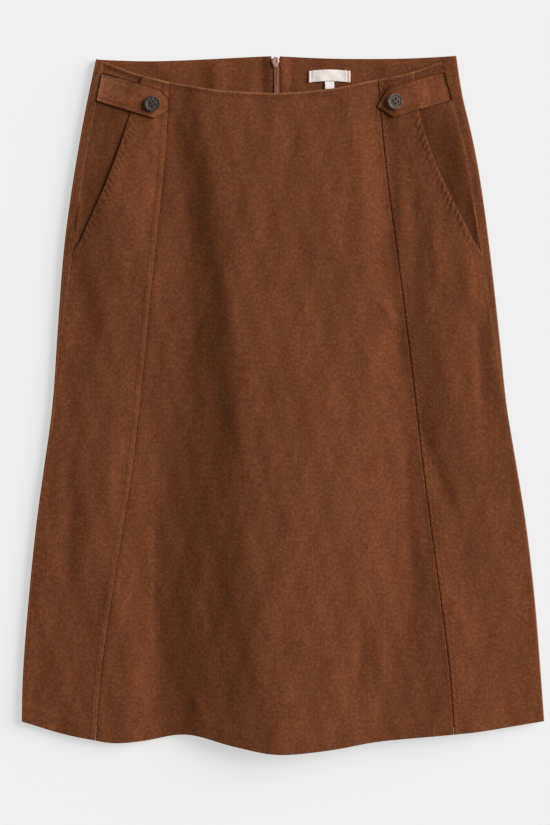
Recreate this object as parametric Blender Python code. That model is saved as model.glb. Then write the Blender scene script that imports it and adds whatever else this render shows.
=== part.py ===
"""A-line skirt in fine-wale corduroy, laid flat on its back with the front up.

Run it with blender --background --python part.py, or from Blender's text editor.

The cloth is one flattened tube, cut into panels: two back panels, two side-front panels with slanted
pocket mouths, a centre-front panel, the pocket backs that show in the mouths, a faced back waist with a
zip and a label, and two buttoned tabs. Each piece is a wall of its real thickness.

Frame: +X to the viewer's right, +Y from hem to waist, +Z up, in metres. The origin lies on the surface
that the skirt rests on, under the middle of its outline. The sizes below are in millimetres, and "down"
is the distance below the highest point of the back waist, measured along the garment.
"""

import bisect
import functools
import math
from collections import namedtuple

import bmesh
import bpy
import numpy as np
from mathutils import Matrix, Vector

MM = 0.001

# Driving sizes
LENGTH = 757.0  # highest point of the back waist to lowest point of the front hem
CLOTH = 1.2  # one layer of fine-wale corduroy
GAP = 0.3  # clearance between pieces that touch
FOLD_RADIUS = 2.8  # how tightly the tube turns over at its two side folds, to mid-cloth
LAYER = CLOTH + 0.5  # pocket back to side front, straight up, so that they stay clear on a slope
CENTRE_BACK = -7.3  # the zip lies a little left of the middle, as the skirt was laid down
FACING_DEPTH = 62.0
FACING_SET_BACK = 1.0  # how far its upper edge lies below the back's
FACING_CLEAR = 0.6  # how far its end by the zip stays back from the notch's edge
ZIP_LENGTH = 190.0

# The two side folds, seen from above: how far out the garment reaches at each level.
Sides = namedtuple("Sides", "down left right")
SIDES = [
    Sides(0, -201.4, 187.6),
    Sides(46, -211.3, 194.5),
    Sides(80, -217.8, 203.2),
    Sides(124, -225.4, 211.9),
    Sides(210, -237.3, 223.8),
    Sides(297, -243.9, 233.5),
    Sides(384, -249.6, 242.4),
    Sides(428, -255.8, 249.8),
    Sides(514, -267.7, 263.9),
    Sides(601, -276.4, 273.7),
    Sides(688, -282.4, 280.4),
    Sides(722, -282.9, 282.9),
]

# Each side seam, as the distance along the cloth from the outermost line of its fold. It is positive
# where the seam has rolled onto the front, and negative where it lies under the fold.
SideSeams = namedtuple("SideSeams", "down left right")
SIDE_SEAMS = [
    SideSeams(0, 9.7, 19.6),
    SideSeams(46, 11.7, 15.3),
    SideSeams(115, 11.0, 12.8),
    SideSeams(200, 12.0, 11.6),
    SideSeams(260, 9.0, 9.0),
    SideSeams(310, 5.5, 6.2),
    SideSeams(350, 3.2, 4.2),
    SideSeams(400, 1.2, 2.2),
    SideSeams(460, -0.4, 0.2),
    SideSeams(540, -1.8, -1.6),
    SideSeams(722, -3.4, -3.4),
]

# The two seams that part the centre front from the side fronts, by X.
PanelSeams = namedtuple("PanelSeams", "down left right")
PANEL_SEAMS = [
    PanelSeams(25, -122.9, 103.3),
    PanelSeams(110, -127.8, 111.2),
    PanelSeams(230, -140.5, 126.5),
    PanelSeams(340, -151.6, 140.3),
    PanelSeams(450, -164.9, 153.0),
    PanelSeams(565, -184.9, 168.0),
    PanelSeams(667, -199.8, 181.0),
    PanelSeams(740, -206.0, 186.3),
]

# The slanted edges of the pocket mouths, by X, from the waist to the side seams.
Mouths = namedtuple("Mouths", "down left right")
POCKET_MOUTHS = [
    Mouths(16, -150.5, 142.0),
    Mouths(62, -165.6, 147.6),
    Mouths(91, -173.6, 156.5),
    Mouths(110, -181.4, 163.0),
    Mouths(140, -191.6, 176.0),
    Mouths(180, -210.9, 196.6),
    Mouths(214, -226.4, 213.9),
]
MOUTH_END = 214.0
MOUTH_CLOSES = 45.0  # the last stretch of the mouth, where the layers come together
POCKET_OVERLAP = 26.0  # how far the pocket back runs on behind the side front
POCKET_BELOW = 18.0  # and below the mouth
POCKET_SAG = 2.6  # how far the pocket back sinks below the side front at the mouth's edge
POCKET_TUCK = 2.5  # how much farther from the side seam the pocket back lies below the mouth
TUCK_LENGTH = 12.0  # the pocket back draws in over this length, just above the mouth's end
LIFT_START = 2.0  # the side front rises onto the pocket back between these distances from the panel seam
LIFT_END = 18.0
SAG_EASE = 15.0  # the shortest length over which the pocket back sinks

# The garment's four free edges, as distances down at each X.
Edge = namedtuple("Edge", "x down")
FRONT_WAIST = [
    Edge(-201.4, 4), Edge(-156, 21), Edge(-111.5, 31), Edge(-65, 38.3), Edge(-8, 41),
    Edge(50, 36.6), Edge(91, 28.3), Edge(131, 20.5), Edge(169, 7.5), Edge(187.6, 0),
]
BACK_WAIST = [
    Edge(-201.4, 4), Edge(-150, 6.5), Edge(-95, 4.5), Edge(-14.8, 0.6), Edge(0, 0.8),
    Edge(45, 3.4), Edge(135, 3.3), Edge(187.6, 0),
]
FRONT_HEM = [
    Edge(-282.9, 722), Edge(-228.7, 737.6), Edge(-180, 745.4), Edge(-152, 743), Edge(-107, 735.6),
    Edge(-54, 748), Edge(-3, 757), Edge(49, 752.4), Edge(101, 743.2), Edge(153, 738.3),
    Edge(205, 733.5), Edge(282.9, 721.5),
]
BACK_HEM = [
    Edge(-282.9, 722), Edge(-150, 730), Edge(-60, 736), Edge(0, 742), Edge(60, 740),
    Edge(150, 731), Edge(282.9, 721.5),
]

# The folds of the front. FOLD_LINES gives the X of each line at each level, from the left fold to the
# right one, and FOLD_HEIGHTS the height of the middle of the cloth there. The large fold in the middle
# rises steeply from its left foot to its crest, falls gently to its right edge and then drops.
Folds = namedtuple(
    "Folds",
    "down left_ridge left_foot left_rise crest middle right_edge right_foot right_ridge",
)
FOLD_LINES = [
    Folds(20, -170, -124, -106, -88, 0, 76, 106, 158),
    Folds(60, -172, -122, -103, -84, 0, 78, 108, 160),
    Folds(110, -176, -118, -98, -80, 0, 80, 110, 163),
    Folds(160, -188, -119, -94, -73, 0, 84, 112, 166),
    Folds(215, -190, -108, -83, -64, 0, 86, 118, 162),
    Folds(300, -182, -108, -79, -52, 5, 86, 130, 168),
    Folds(375, -200, -124, -77, -46, 10, 86, 136, 184),
    Folds(450, -204, -138, -80, -36, 15, 88, 139, 180),
    Folds(540, -194, -139, -84, -28, 20, 92, 141, 166),
    Folds(640, -170, -138, -82, -14, 25, 86, 132, 168),
    Folds(757, -164, -136, -82, -4, 30, 86, 126, 182),
]
FOLD_HEIGHTS = [
    Folds(20, 7.5, 7.1, 8.2, 9.8, 9.2, 8.2, 6.4, 6.6),
    Folds(60, 8.4, 7.2, 9.4, 12.2, 11.0, 9.4, 5.8, 6.2),
    Folds(110, 9.6, 8.6, 12.2, 16.4, 14.0, 10.8, 4.8, 5.2),
    Folds(160, 11.2, 9.2, 13.2, 18.4, 15.6, 12.2, 5.6, 5.4),
    Folds(215, 10.6, 8.0, 11.8, 16.8, 14.6, 12.4, 7.8, 9.4),
    Folds(300, 9.0, 7.2, 12.0, 18.6, 17.0, 12.8, 7.2, 9.8),
    Folds(375, 8.4, 5.8, 11.6, 18.6, 17.8, 12.8, 6.2, 9.0),
    Folds(450, 8.8, 4.4, 11.4, 18.6, 18.2, 13.4, 6.8, 8.2),
    Folds(540, 8.4, 4.4, 12.8, 21.4, 20.6, 15.4, 9.4, 10.6),
    Folds(640, 7.8, 4.2, 13.2, 22.4, 20.8, 16.0, 12.4, 13.8),
    Folds(757, 8.4, 4.2, 13.6, 22.6, 20.6, 16.8, 14.6, 15.8),
]

# Tabs and buttons. A tab is two layers of cloth, caught in the side seam and pointed at its free end.
TAB_THICK = 2.2
TAB_SETTLE = 14.0  # how far from the pocket mouth the tab comes down onto the pocket back
Tab = namedtuple("Tab", "name side x down tilt outline")  # middle of the end in the seam, tilt in degrees
TabRow = namedtuple("TabRow", "along upper lower")  # its two long edges, from its middle line
TABS = [
    Tab("tab_left", -1, -198.2, 34.0, 17.0, [
        TabRow(0, -15.6, 15.6), TabRow(64, -15.6, 15.7), TabRow(66.5, -14.2, 15.7),
        TabRow(76, -8.6, 5.6), TabRow(79, 0.8, 2.6),
    ]),
    Tab("tab_right", 1, 178.6, 33.3, 16.4, [
        TabRow(0, -15.5, 15.5), TabRow(62.5, -15.8, 15.8), TabRow(65.5, -12.9, 15.8),
        TabRow(77, -2.8, 2.6), TabRow(79, -0.9, 0.9),
    ]),
]
BUTTON_ALONG = 59.2  # from the seamed end of the tab
BUTTON_RADIUS = 9.0
BUTTON_THICK = 3.2
BUTTON_RIM = 1.9  # width of the raised rim
BUTTON_FOOT = 6.5  # radius of its flat underside
BUTTON_WIDEST = 2.0  # height of its widest line
BUTTON_ROUND = 0.5  # rounding of its edges
BUTTON_DISH = 0.9  # depth of the dished middle
BUTTON_HOLE_RADIUS = 0.85
BUTTON_HOLE_OFFSET = 1.9  # from the centre, along each diagonal's legs

# Zip: a chain on its tape, closed to the top, with the slider in a notch of the waist.
CHAIN_WIDTH = 5.6
CHAIN_HEIGHT = 2.1
CHAIN_TOP = 4.0  # width of its rounded top
TAPE_WIDTH = 7.6
TAPE_THICK = 1.0
NOTCH_HALF = 5.6  # half width of the notch at the waist
NOTCH_DEPTH = 20.0
FACING_HALF = 4.4  # the facing's edges stand this far from the chain's middle
SLIDER_TOP = 1.6  # down
SLIDER_LENGTH = 11.4
SLIDER_HALF = 4.5
SLIDER_NOSE_HALF = 2.9
SLIDER_BASE = 3.4  # height of its underside above the floor
SLIDER_THICK = 3.0
SLIDER_CORNER = 1.4  # cut off its upper corners
SLIDER_SHOULDER = 5.2  # length of its wide part
SLIDER_TAPER = 8.4  # where its taper ends
HINGE_DOWN = 7.2
HINGE_HEIGHT = 1.65
PIN_RADIUS = 0.5
LUG_OUT = 3.1
LUG_IN = 2.0
LUG_HALF = 1.2  # half its length along the zip
LUG_BELOW = 0.4  # below the pin
LUG_ROOT = 0.8  # into the slider's body
EYE_HOLE = 0.75
EYE_RADIUS = 1.4
EYE_HALF = 1.6  # half width of the pull's eye
PULL_LENGTH = 25.0
PULL_THICK = 1.1
PULL_HALF = 2.6  # half width at its round end
PULL_NECK = 1.5  # half width at the eye
PULL_TAPER = 5.0  # length over which it widens
PULL_START = 0.6  # where its plate leaves the eye, below the hinge
BACK_RISE = 1.7  # the back lifts this much over the pull that lies under it
RISE_FLAT = 8.0  # to each side of the zip's middle
RISE_OUT = 15.0
RISE_DOWN = 34.0
RISE_END = 52.0

LABEL_X = 50.4
LABEL_DOWN = 15.2
LABEL_WIDTH = 45.0
LABEL_HEIGHT = 12.5
LABEL_ARCH = 1.6  # its middle stands this much higher than its ends, in the plane
LABEL_THICK = 1.0
SIZE_WIDTH = 10.0
SIZE_HEIGHT = 8.2

# Colours are linear, as Blender stores them.
MATERIALS = {
    "corduroy": ((0.135, 0.047, 0.022), 0.9, 0.0),
    "facing": ((0.150, 0.056, 0.028), 0.9, 0.0),
    "button": ((0.065, 0.052, 0.042), 0.35, 0.0),
    "zip": ((0.190, 0.080, 0.055), 0.6, 0.0),
    "slider": ((0.480, 0.250, 0.200), 0.4, 0.3),
    "label": ((0.720, 0.640, 0.560), 0.8, 0.0),
}


def clear_scene():
    for obj in list(bpy.data.objects):
        bpy.data.objects.remove(obj)


def material(name):
    """The named material, made once."""
    found = bpy.data.materials.get(name)
    if found:
        return found
    colour, roughness, metallic = MATERIALS[name]
    made = bpy.data.materials.new(name)
    made.use_nodes = True
    shader = made.node_tree.nodes["Principled BSDF"]
    shader.inputs["Base Color"].default_value = (*colour, 1.0)
    shader.inputs["Roughness"].default_value = roughness
    shader.inputs["Metallic"].default_value = metallic
    return made


def place_mesh(name, mesh, material_name):
    obj = bpy.data.objects.new(name, mesh)
    mesh.materials.append(material(material_name))
    bpy.context.scene.collection.objects.link(obj)
    return obj


# ---- Curves and the tube's middle surface --------------------------------------------------------


def tangent(at, values, i, end_slope):
    """The slope of a curve at its point i. It is level at a peak or a dip, so it never overshoots."""
    slopes = [
        (values[j + 1] - values[j]) / (at[j + 1] - at[j]) for j in (i - 1, i) if 0 <= j < len(at) - 1
    ]
    if len(slopes) == 1:
        return slopes[0] if end_slope is None else end_slope
    before, after = slopes
    return 2 * before * after / (before + after) if before * after > 0 else 0.0


def curve_value(at, values, x, end_slope=None):
    """The height at x of a smooth curve through points (a monotone cubic), and level beyond its ends."""
    x = min(max(x, at[0]), at[-1])
    i = min(bisect.bisect_right(at, x) - 1, len(at) - 2)
    width = at[i + 1] - at[i]
    t = (x - at[i]) / width
    rise = (3 - 2 * t) * t * t
    start, end = (tangent(at, values, j, end_slope) for j in (i, i + 1))
    bend = width * t * (1 - t) * ((1 - t) * start - t * end)
    return values[i] * (1 - rise) + values[i + 1] * rise + bend


def columns(table):
    """One smooth curve of the table's first column for each of its other columns, by name."""
    names = table[0]._fields
    at = [row[0] for row in table]
    return {
        name: functools.partial(curve_value, at, [row[i] for row in table])
        for i, name in enumerate(names)
        if i
    }


def step(low, high, x):
    """0 below low, 1 above high, and a smooth rise between."""
    t = min(max((x - low) / (high - low), 0.0), 1.0)
    return t * t * (3 - 2 * t)


sides = columns(SIDES)
side_seams = columns(SIDE_SEAMS)
panel_seams = columns(PANEL_SEAMS)
mouths = columns(POCKET_MOUTHS)
fold_lines = columns(FOLD_LINES)
fold_heights = columns(FOLD_HEIGHTS)
front_waist = columns(FRONT_WAIST)["down"]
back_waist = columns(BACK_WAIST)["down"]
front_hem = columns(FRONT_HEM)["down"]
back_hem = columns(BACK_HEM)["down"]
SIDE_NAME = {-1: "left", 1: "right"}
FOLD_TOP = CLOTH / 2 + 2 * FOLD_RADIUS  # mid-cloth height where a side fold ends on the front
QUARTER = math.pi / 2 * FOLD_RADIUS  # length of cloth in half of a side fold


def front_height(x, down):
    """Height of the middle of the front's cloth, smooth across its fold lines and level at its ends."""
    left, right = sides["left"](down) + FOLD_RADIUS, sides["right"](down) - FOLD_RADIUS
    at = [left, *(line(down) for line in fold_lines.values()), right]
    heights = [FOLD_TOP, *(height(down) for height in fold_heights.values()), FOLD_TOP]
    return curve_value(at, heights, x, end_slope=0.0)


def back_height(x, down):
    """Height of the middle of the back's cloth: flat on the floor, but for the rise over the pull."""
    beside = step(RISE_FLAT, RISE_OUT, abs(x - CENTRE_BACK))
    below = step(RISE_DOWN, RISE_END, down)
    return CLOTH / 2 + BACK_RISE * (1 - beside) * (1 - below)


def around(side, down, arc):
    """(x, height, share of front) at a distance along the cloth from a side fold's outermost line."""
    edge = sides[SIDE_NAME[side]](down)
    if arc >= QUARTER:
        x = edge - side * (FOLD_RADIUS + arc - QUARTER)
        return x, front_height(x, down), 1.0
    if arc <= -QUARTER:
        x = edge - side * (FOLD_RADIUS - arc - QUARTER)
        return x, back_height(x, down), 0.0
    turn = arc / FOLD_RADIUS
    x = edge - side * FOLD_RADIUS * (1 - math.cos(turn))
    share = (1 + math.sin(turn)) / 2
    return x, CLOTH / 2 + FOLD_RADIUS * (1 + math.sin(turn)), share


def arc_to(side, down, x):
    """The distance along the cloth from a side fold's outermost line to a point of the front at x."""
    return QUARTER + side * (sides[SIDE_NAME[side]](down) - x) - FOLD_RADIUS


def hem_to_waist(x, share):
    """The garment's waist and hem, as distances down, at x on the front (share 1) or back (share 0)."""
    waist = back_waist(x) + (front_waist(x) - back_waist(x)) * share
    hem = back_hem(x) + (front_hem(x) - back_hem(x)) * share
    return waist, hem


def settled(spot, v):
    """The point at share v of the way down a line. spot(down) says where the line lies at a level."""
    down = v * LENGTH
    for _ in range(8):
        x, height, share = spot(down)
        waist, hem = hem_to_waist(x, share)
        down = waist + (hem - waist) * v
    return np.array([x, LENGTH / 2 - down, height])


def wall(name, point, across, along, thickness, material_name):
    """A piece of cloth. point(u, v) is its middle surface, and its faces lie half a thickness off."""
    nudge = 1e-3

    def normal(u, v):
        by_u = point(min(u + nudge, across[-1]), v) - point(max(u - nudge, across[0]), v)
        by_v = point(u, min(v + nudge, along[-1])) - point(u, max(v - nudge, along[0]))
        found = np.cross(by_u, by_v)
        return found / np.linalg.norm(found)

    bm = bmesh.new()
    layers = []
    grid = [[(point(u, v), normal(u, v)) for u in across] for v in along]
    for offset in (thickness / 2, -thickness / 2):
        layers.append([[bm.verts.new((p + n * offset) * MM) for p, n in row] for row in grid])
    rows, cols = len(along) - 1, len(across) - 1
    for layer in layers:
        for i in range(rows):
            for j in range(cols):
                bm.faces.new(
                    (layer[i][j], layer[i][j + 1], layer[i + 1][j + 1], layer[i + 1][j])
                )
    border = [(0, j) for j in range(cols)]
    border += [(i, cols) for i in range(rows)]
    border += [(rows, cols - j) for j in range(cols)]
    border += [(rows - i, 0) for i in range(rows)]
    for (i, j), (k, m) in zip(border, border[1:] + border[:1]):
        bm.faces.new((layers[0][i][j], layers[0][k][m], layers[1][k][m], layers[1][i][j]))
    bmesh.ops.triangulate(bm, faces=bm.faces, quad_method="FIXED")
    bmesh.ops.recalc_face_normals(bm, faces=bm.faces)
    mesh = bpy.data.meshes.new(name)
    bm.to_mesh(mesh)
    bm.free()
    mesh.shade_smooth()
    mesh.set_sharp_from_angle(angle=math.radians(50))
    return place_mesh(name, mesh, material_name)


def spread(low, high, count):
    return [low + (high - low) * i / count for i in range(count + 1)]


# ---- Panels --------------------------------------------------------------------------------------

# The rows of every panel, as shares of the way from waist to hem, so that neighbours meet along a seam.
LEVELS = [0, 0.009, 0.02, 0.042, 0.07, *spread(0.10, 0.94, 21), 0.97, 1]
NEAR_SEAM = [0, 1.0, 2.2, 3.6, 5.2, 7.0, 9.5]  # columns beside a side seam, as distances from it
NEAR_ZIP = [15.0, 11.5, 8.0]  # columns beside the zip, as distances from its middle
PAST_FOLD = 1.5  # how far past a side fold the back's close columns run


def front_centre():
    def point(u, v):
        def spot(down):
            left = panel_seams["left"](down) + GAP / 2
            right = panel_seams["right"](down) - GAP / 2
            x = left + (right - left) * u
            return x, front_height(x, down), 1.0

        return settled(spot, v)

    across = spread(0, 0.46, 20) + spread(0.46, 1, 16)[1:]
    wall("front_centre", point, across, LEVELS, CLOTH, "corduroy")


def mouth_open(down):
    """1 where the pocket mouth is open, falling to 0 where its layers meet at the side seam."""
    return 1 - step(MOUTH_END - MOUTH_CLOSES, MOUTH_END, down)


def pocket_lift(side, x, down):
    """How far the side front lies above the level of the pocket back and of the side seam."""
    seam = panel_seams[SIDE_NAME[side]](down)
    return LAYER * mouth_open(down) * step(LIFT_START, LIFT_END, side * (x - seam))


def side_front(side):
    """From the panel seam to the pocket mouth, and below the mouth to the side seam."""

    def outer_arc(down):
        seam = side_seams[SIDE_NAME[side]](down) + GAP / 2
        if down >= MOUTH_END:
            return seam
        return max(seam, arc_to(side, down, mouths[SIDE_NAME[side]](down)))

    def point(u, v):
        def spot(down):
            outer = outer_arc(down)
            inner = arc_to(side, down, panel_seams[SIDE_NAME[side]](down) + side * GAP / 2)
            near = NEAR_SEAM[-1]
            if u <= near:
                arc = outer + u
            else:
                arc = outer + near + (inner - outer - near) * (u - near)
            x, height, share = around(side, down, arc)
            return x, height + share * pocket_lift(side, x, down), share

        return settled(spot, v)

    inner_columns = [NEAR_SEAM[-1] + t for t in spread(0, 1, 9)[1:]]
    wall(
        f"side_front_{SIDE_NAME[side]}", point, NEAR_SEAM + inner_columns, LEVELS, CLOTH, "corduroy"
    )


def pocket_back(side):
    """The hip piece that shows in the pocket mouth, and runs on behind the side front."""

    def point(u, v):
        def spot(down):
            tuck = POCKET_TUCK * step(MOUTH_END - TUCK_LENGTH, MOUTH_END, down)
            seam = side_seams[SIDE_NAME[side]](down) + GAP / 2 + tuck
            slant = mouths[SIDE_NAME[side]](min(down, MOUTH_END))
            inner = arc_to(side, down, slant - side * POCKET_OVERLAP)
            arc = seam + (inner - seam) * u
            x, height, share = around(side, down, arc)
            sunk = mouth_open(down) * step(FACING_DEPTH, FACING_DEPTH + SAG_EASE, down)
            sag = POCKET_SAG * sunk * step(seam, max(arc_to(side, down, slant), seam + SAG_EASE), arc)
            return x, height + share * (pocket_lift(side, x, down) - LAYER - sag), share

        return settled(spot, v)

    along = [v for v in LEVELS if v <= (MOUTH_END + POCKET_BELOW) / LENGTH]
    wall(f"pocket_back_{SIDE_NAME[side]}", point, spread(0, 1, 9), along, CLOTH, "corduroy")


def notch(down):
    """Half the opening between the back panels: a notch for the slider, then the closed seam."""
    return GAP / 2 + NOTCH_HALF * (1 - step(0.0, NOTCH_DEPTH, down))


def between(stops, share):
    """A value between evenly numbered stops: stop 0 at share 0, stop 1 at share 1, and so on."""
    i = min(int(share), len(stops) - 2)
    return stops[i] + (stops[i + 1] - stops[i]) * (share - i)


def back_panel(side):
    """From the side seam, round the side fold and over the floor to the centre back."""

    def point(u, v):
        def spot(down):
            edge = sides[SIDE_NAME[side]](down)
            seam = side_seams[SIDE_NAME[side]](down) - GAP / 2
            floor = -QUARTER - PAST_FOLD
            stops = [CENTRE_BACK + side * off for off in (*NEAR_ZIP, notch(down))]
            flat = [side * (x - edge) + FOLD_RADIUS - QUARTER for x in stops]
            return around(side, down, between([seam, floor, *flat], u))

        return settled(spot, v)

    across = [*spread(0, 1, 11), *spread(1, 2, 4)[1:], *range(3, len(NEAR_ZIP) + 3)]
    wall(f"back_{SIDE_NAME[side]}", point, across, LEVELS, CLOTH, "corduroy")


def facing(side):
    """The strip of cloth that finishes the back waist inside, set just below its edge."""

    def point(u, v):
        def spot(down):
            outer = sides[SIDE_NAME[side]](down) - side * (2 * FOLD_RADIUS + GAP)
            stops = [outer, *(CENTRE_BACK + side * off for off in NEAR_ZIP)]
            stops.append(CENTRE_BACK + side * max(FACING_HALF, notch(down) + FACING_CLEAR))
            x = between(stops, u)
            return x, back_height(x, down) + CLOTH + GAP, 0.0

        return settled(spot, v)

    across = [*spread(0, 1, 6), *range(2, len(NEAR_ZIP) + 2)]
    last = FACING_DEPTH / LENGTH
    along = [FACING_SET_BACK / LENGTH, *(v for v in LEVELS if 0 < v < last), last]
    wall(f"facing_{SIDE_NAME[side]}", point, across, along, CLOTH, "facing")


# ---- Tabs and buttons ----------------------------------------------------------------------------


def tab_spot(tab, along, across):
    """(x, down) of a point of a tab: along it from the seam, and across it from its middle."""
    turn = math.radians(tab.tilt)
    x = tab.x - tab.side * (along * math.cos(turn) - across * math.sin(turn))
    return x, tab.down + along * math.sin(turn) + across * math.cos(turn)


def tab_height(side, x, down):
    """Mid-cloth height of a tab: on the side front, and down onto the pocket back beyond its edge."""
    beyond = side * (x - mouths[SIDE_NAME[side]](down))
    on_pocket = LAYER * step(0.0, TAB_SETTLE, beyond - CLOTH)
    lie = front_height(x, down) + pocket_lift(side, x, down) - on_pocket
    return lie + CLOTH / 2 + GAP + TAB_THICK / 2


def tab_piece(tab):
    """A strap from the side seam to its blunt point, given by its outline."""
    stops = [row.along for row in tab.outline]
    uppers = [row.upper for row in tab.outline]
    lowers = [row.lower for row in tab.outline]

    def point(u, v):
        upper, lower = np.interp(u, stops, uppers), np.interp(u, stops, lowers)
        x, down = tab_spot(tab, u, upper + (lower - upper) * v)
        return np.array([x, LENGTH / 2 - down, tab_height(tab.side, x, down)])

    wall(tab.name, point, spread(0, stops[1], 9) + stops[2:], spread(0, 1, 4), TAB_THICK, "corduroy")


def turned(name, profile, segments, material_name):
    """A round piece, spun about Z from its profile of (radius, height), which starts and ends at 0."""
    bm = bmesh.new()
    verts = [bm.verts.new((radius * MM, 0, height * MM)) for radius, height in profile]
    edges = [bm.edges.new(pair) for pair in zip(verts, verts[1:])]
    bmesh.ops.spin(
        bm, geom=verts + edges, cent=(0, 0, 0), axis=(0, 0, 1), angle=2 * math.pi, steps=segments
    )
    bmesh.ops.remove_doubles(bm, verts=bm.verts, dist=1e-6)
    bmesh.ops.recalc_face_normals(bm, faces=bm.faces)
    mesh = bpy.data.meshes.new(name)
    bm.to_mesh(mesh)
    bm.free()
    mesh.shade_smooth()
    mesh.set_sharp_from_angle(angle=math.radians(40))
    return place_mesh(name, mesh, material_name)


def button(tab):
    """A four-hole button, dished inside a raised rim, lying on its tab."""
    thick, rim = BUTTON_THICK, BUTTON_RADIUS - BUTTON_RIM
    profile = [
        (0, 0), (BUTTON_FOOT, 0), (BUTTON_RADIUS - BUTTON_ROUND, BUTTON_WIDEST / 2),
        (BUTTON_RADIUS, BUTTON_WIDEST), (BUTTON_RADIUS - BUTTON_ROUND, thick), (rim, thick),
        (rim - BUTTON_DISH, thick - BUTTON_DISH), (0, thick - BUTTON_DISH),
    ]
    made = turned(tab.name.replace("tab", "button"), profile, 24, "button")
    for i in range(4):
        hole = turned(
            f"cut_{made.name}_{i}",
            [(0, -1), (BUTTON_HOLE_RADIUS, -1), (BUTTON_HOLE_RADIUS, thick + 1), (0, thick + 1)],
            8,
            "button",
        )
        hole.location = (
            BUTTON_HOLE_OFFSET * MM * (1 if i in (0, 1) else -1),
            BUTTON_HOLE_OFFSET * MM * (1 if i in (0, 3) else -1),
            0,
        )
        hole.parent = made
        hole.hide_render = True
        hole.display_type = "WIRE"
        cut = made.modifiers.new(f"hole_{i}", "BOOLEAN")
        cut.operation = "DIFFERENCE"
        cut.object = hole
    x, down = tab_spot(tab, BUTTON_ALONG, 0)
    reach = BUTTON_FOOT

    def top(dx, dy):
        return tab_height(tab.side, x + dx, down - dy) + TAB_THICK / 2

    slope_x = (top(reach, 0) - top(-reach, 0)) / (2 * reach)
    slope_y = (top(0, reach) - top(0, -reach)) / (2 * reach)
    highest = max(
        top(reach * i, reach * j) - reach * (i * slope_x + j * slope_y)
        for i in (-1, 0, 1)
        for j in (-1, 0, 1)
    )
    up = Vector((-slope_x, -slope_y, 1)).normalized()
    made.rotation_mode = "QUATERNION"
    made.rotation_quaternion = up.to_track_quat("Z", "Y")
    made.location = Vector((x, LENGTH / 2 - down, highest + GAP)) * MM


# ---- Zip -----------------------------------------------------------------------------------------


def slab(name, outline, low, high, material_name):
    """A plate cut to an outline of (x, down) from the zip's middle, between two heights."""
    bm = bmesh.new()
    verts = [
        bm.verts.new(((CENTRE_BACK + x) * MM, (LENGTH / 2 - down) * MM, low * MM))
        for x, down in outline
    ]
    face = bm.faces.new(verts)
    raised = bmesh.ops.extrude_face_region(bm, geom=[face])["geom"]
    for vert in (g for g in raised if isinstance(g, bmesh.types.BMVert)):
        vert.co.z = high * MM
    bmesh.ops.recalc_face_normals(bm, faces=bm.faces)
    mesh = bpy.data.meshes.new(name)
    bm.to_mesh(mesh)
    bm.free()
    return place_mesh(name, mesh, material_name)


def bar(name, radius, half_length, material_name, segments=10):
    """A round bar along X on the pull's hinge."""
    bm = bmesh.new()
    bmesh.ops.create_cone(
        bm, cap_ends=True, segments=segments, radius1=radius * MM, radius2=radius * MM,
        depth=2 * half_length * MM,
    )
    mesh = bpy.data.meshes.new(name)
    bm.to_mesh(mesh)
    bm.free()
    obj = place_mesh(name, mesh, material_name)
    turn = Matrix.Rotation(math.pi / 2, 4, "Y")
    obj.data.transform(Matrix.Translation(hinge_point()) @ turn)
    return obj


def hinge_point():
    return Vector((CENTRE_BACK, LENGTH / 2 - HINGE_DOWN, HINGE_HEIGHT)) * MM


def join(target, others, operation="UNION"):
    """Adds the other shapes to the target, or cuts them from it, and keeps them out of the render."""
    for other in others:
        other.hide_render = True
        other.display_type = "WIRE"
        made = target.modifiers.new(f"with_{other.name}", "BOOLEAN")
        made.operation = operation
        made.object = other


def zip_chain():
    """The closed chain on its tape, as one ribbed strip that lies on the back panels."""
    start = SLIDER_TOP + SLIDER_LENGTH + GAP
    levels = [*spread(start, RISE_END, 5), *spread(RISE_END, start + ZIP_LENGTH, 5)[1:]]
    half_tape, half_chain = TAPE_WIDTH / 2, CHAIN_WIDTH / 2
    section = [
        (-half_tape, 0), (half_tape, 0), (half_tape, TAPE_THICK), (half_chain, TAPE_THICK),
        (CHAIN_TOP / 2, TAPE_THICK + CHAIN_HEIGHT), (-CHAIN_TOP / 2, TAPE_THICK + CHAIN_HEIGHT),
        (-half_chain, TAPE_THICK), (-half_tape, TAPE_THICK),
    ]
    bm = bmesh.new()
    rings = []
    for down in levels:
        base = back_height(CENTRE_BACK, down) + CLOTH / 2 + GAP
        rings.append([
            bm.verts.new(Vector((CENTRE_BACK + x, LENGTH / 2 - down, base + height)) * MM)
            for x, height in section
        ])
    for upper, lower in zip(rings, rings[1:]):
        for i in range(len(section)):
            j = (i + 1) % len(section)
            bm.faces.new((upper[i], upper[j], lower[j], lower[i]))
    bm.faces.new(rings[0])
    bm.faces.new(rings[-1])
    bmesh.ops.recalc_face_normals(bm, faces=bm.faces)
    mesh = bpy.data.meshes.new("zip_chain")
    bm.to_mesh(mesh)
    bm.free()
    place_mesh("zip_chain", mesh, "zip")


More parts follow.
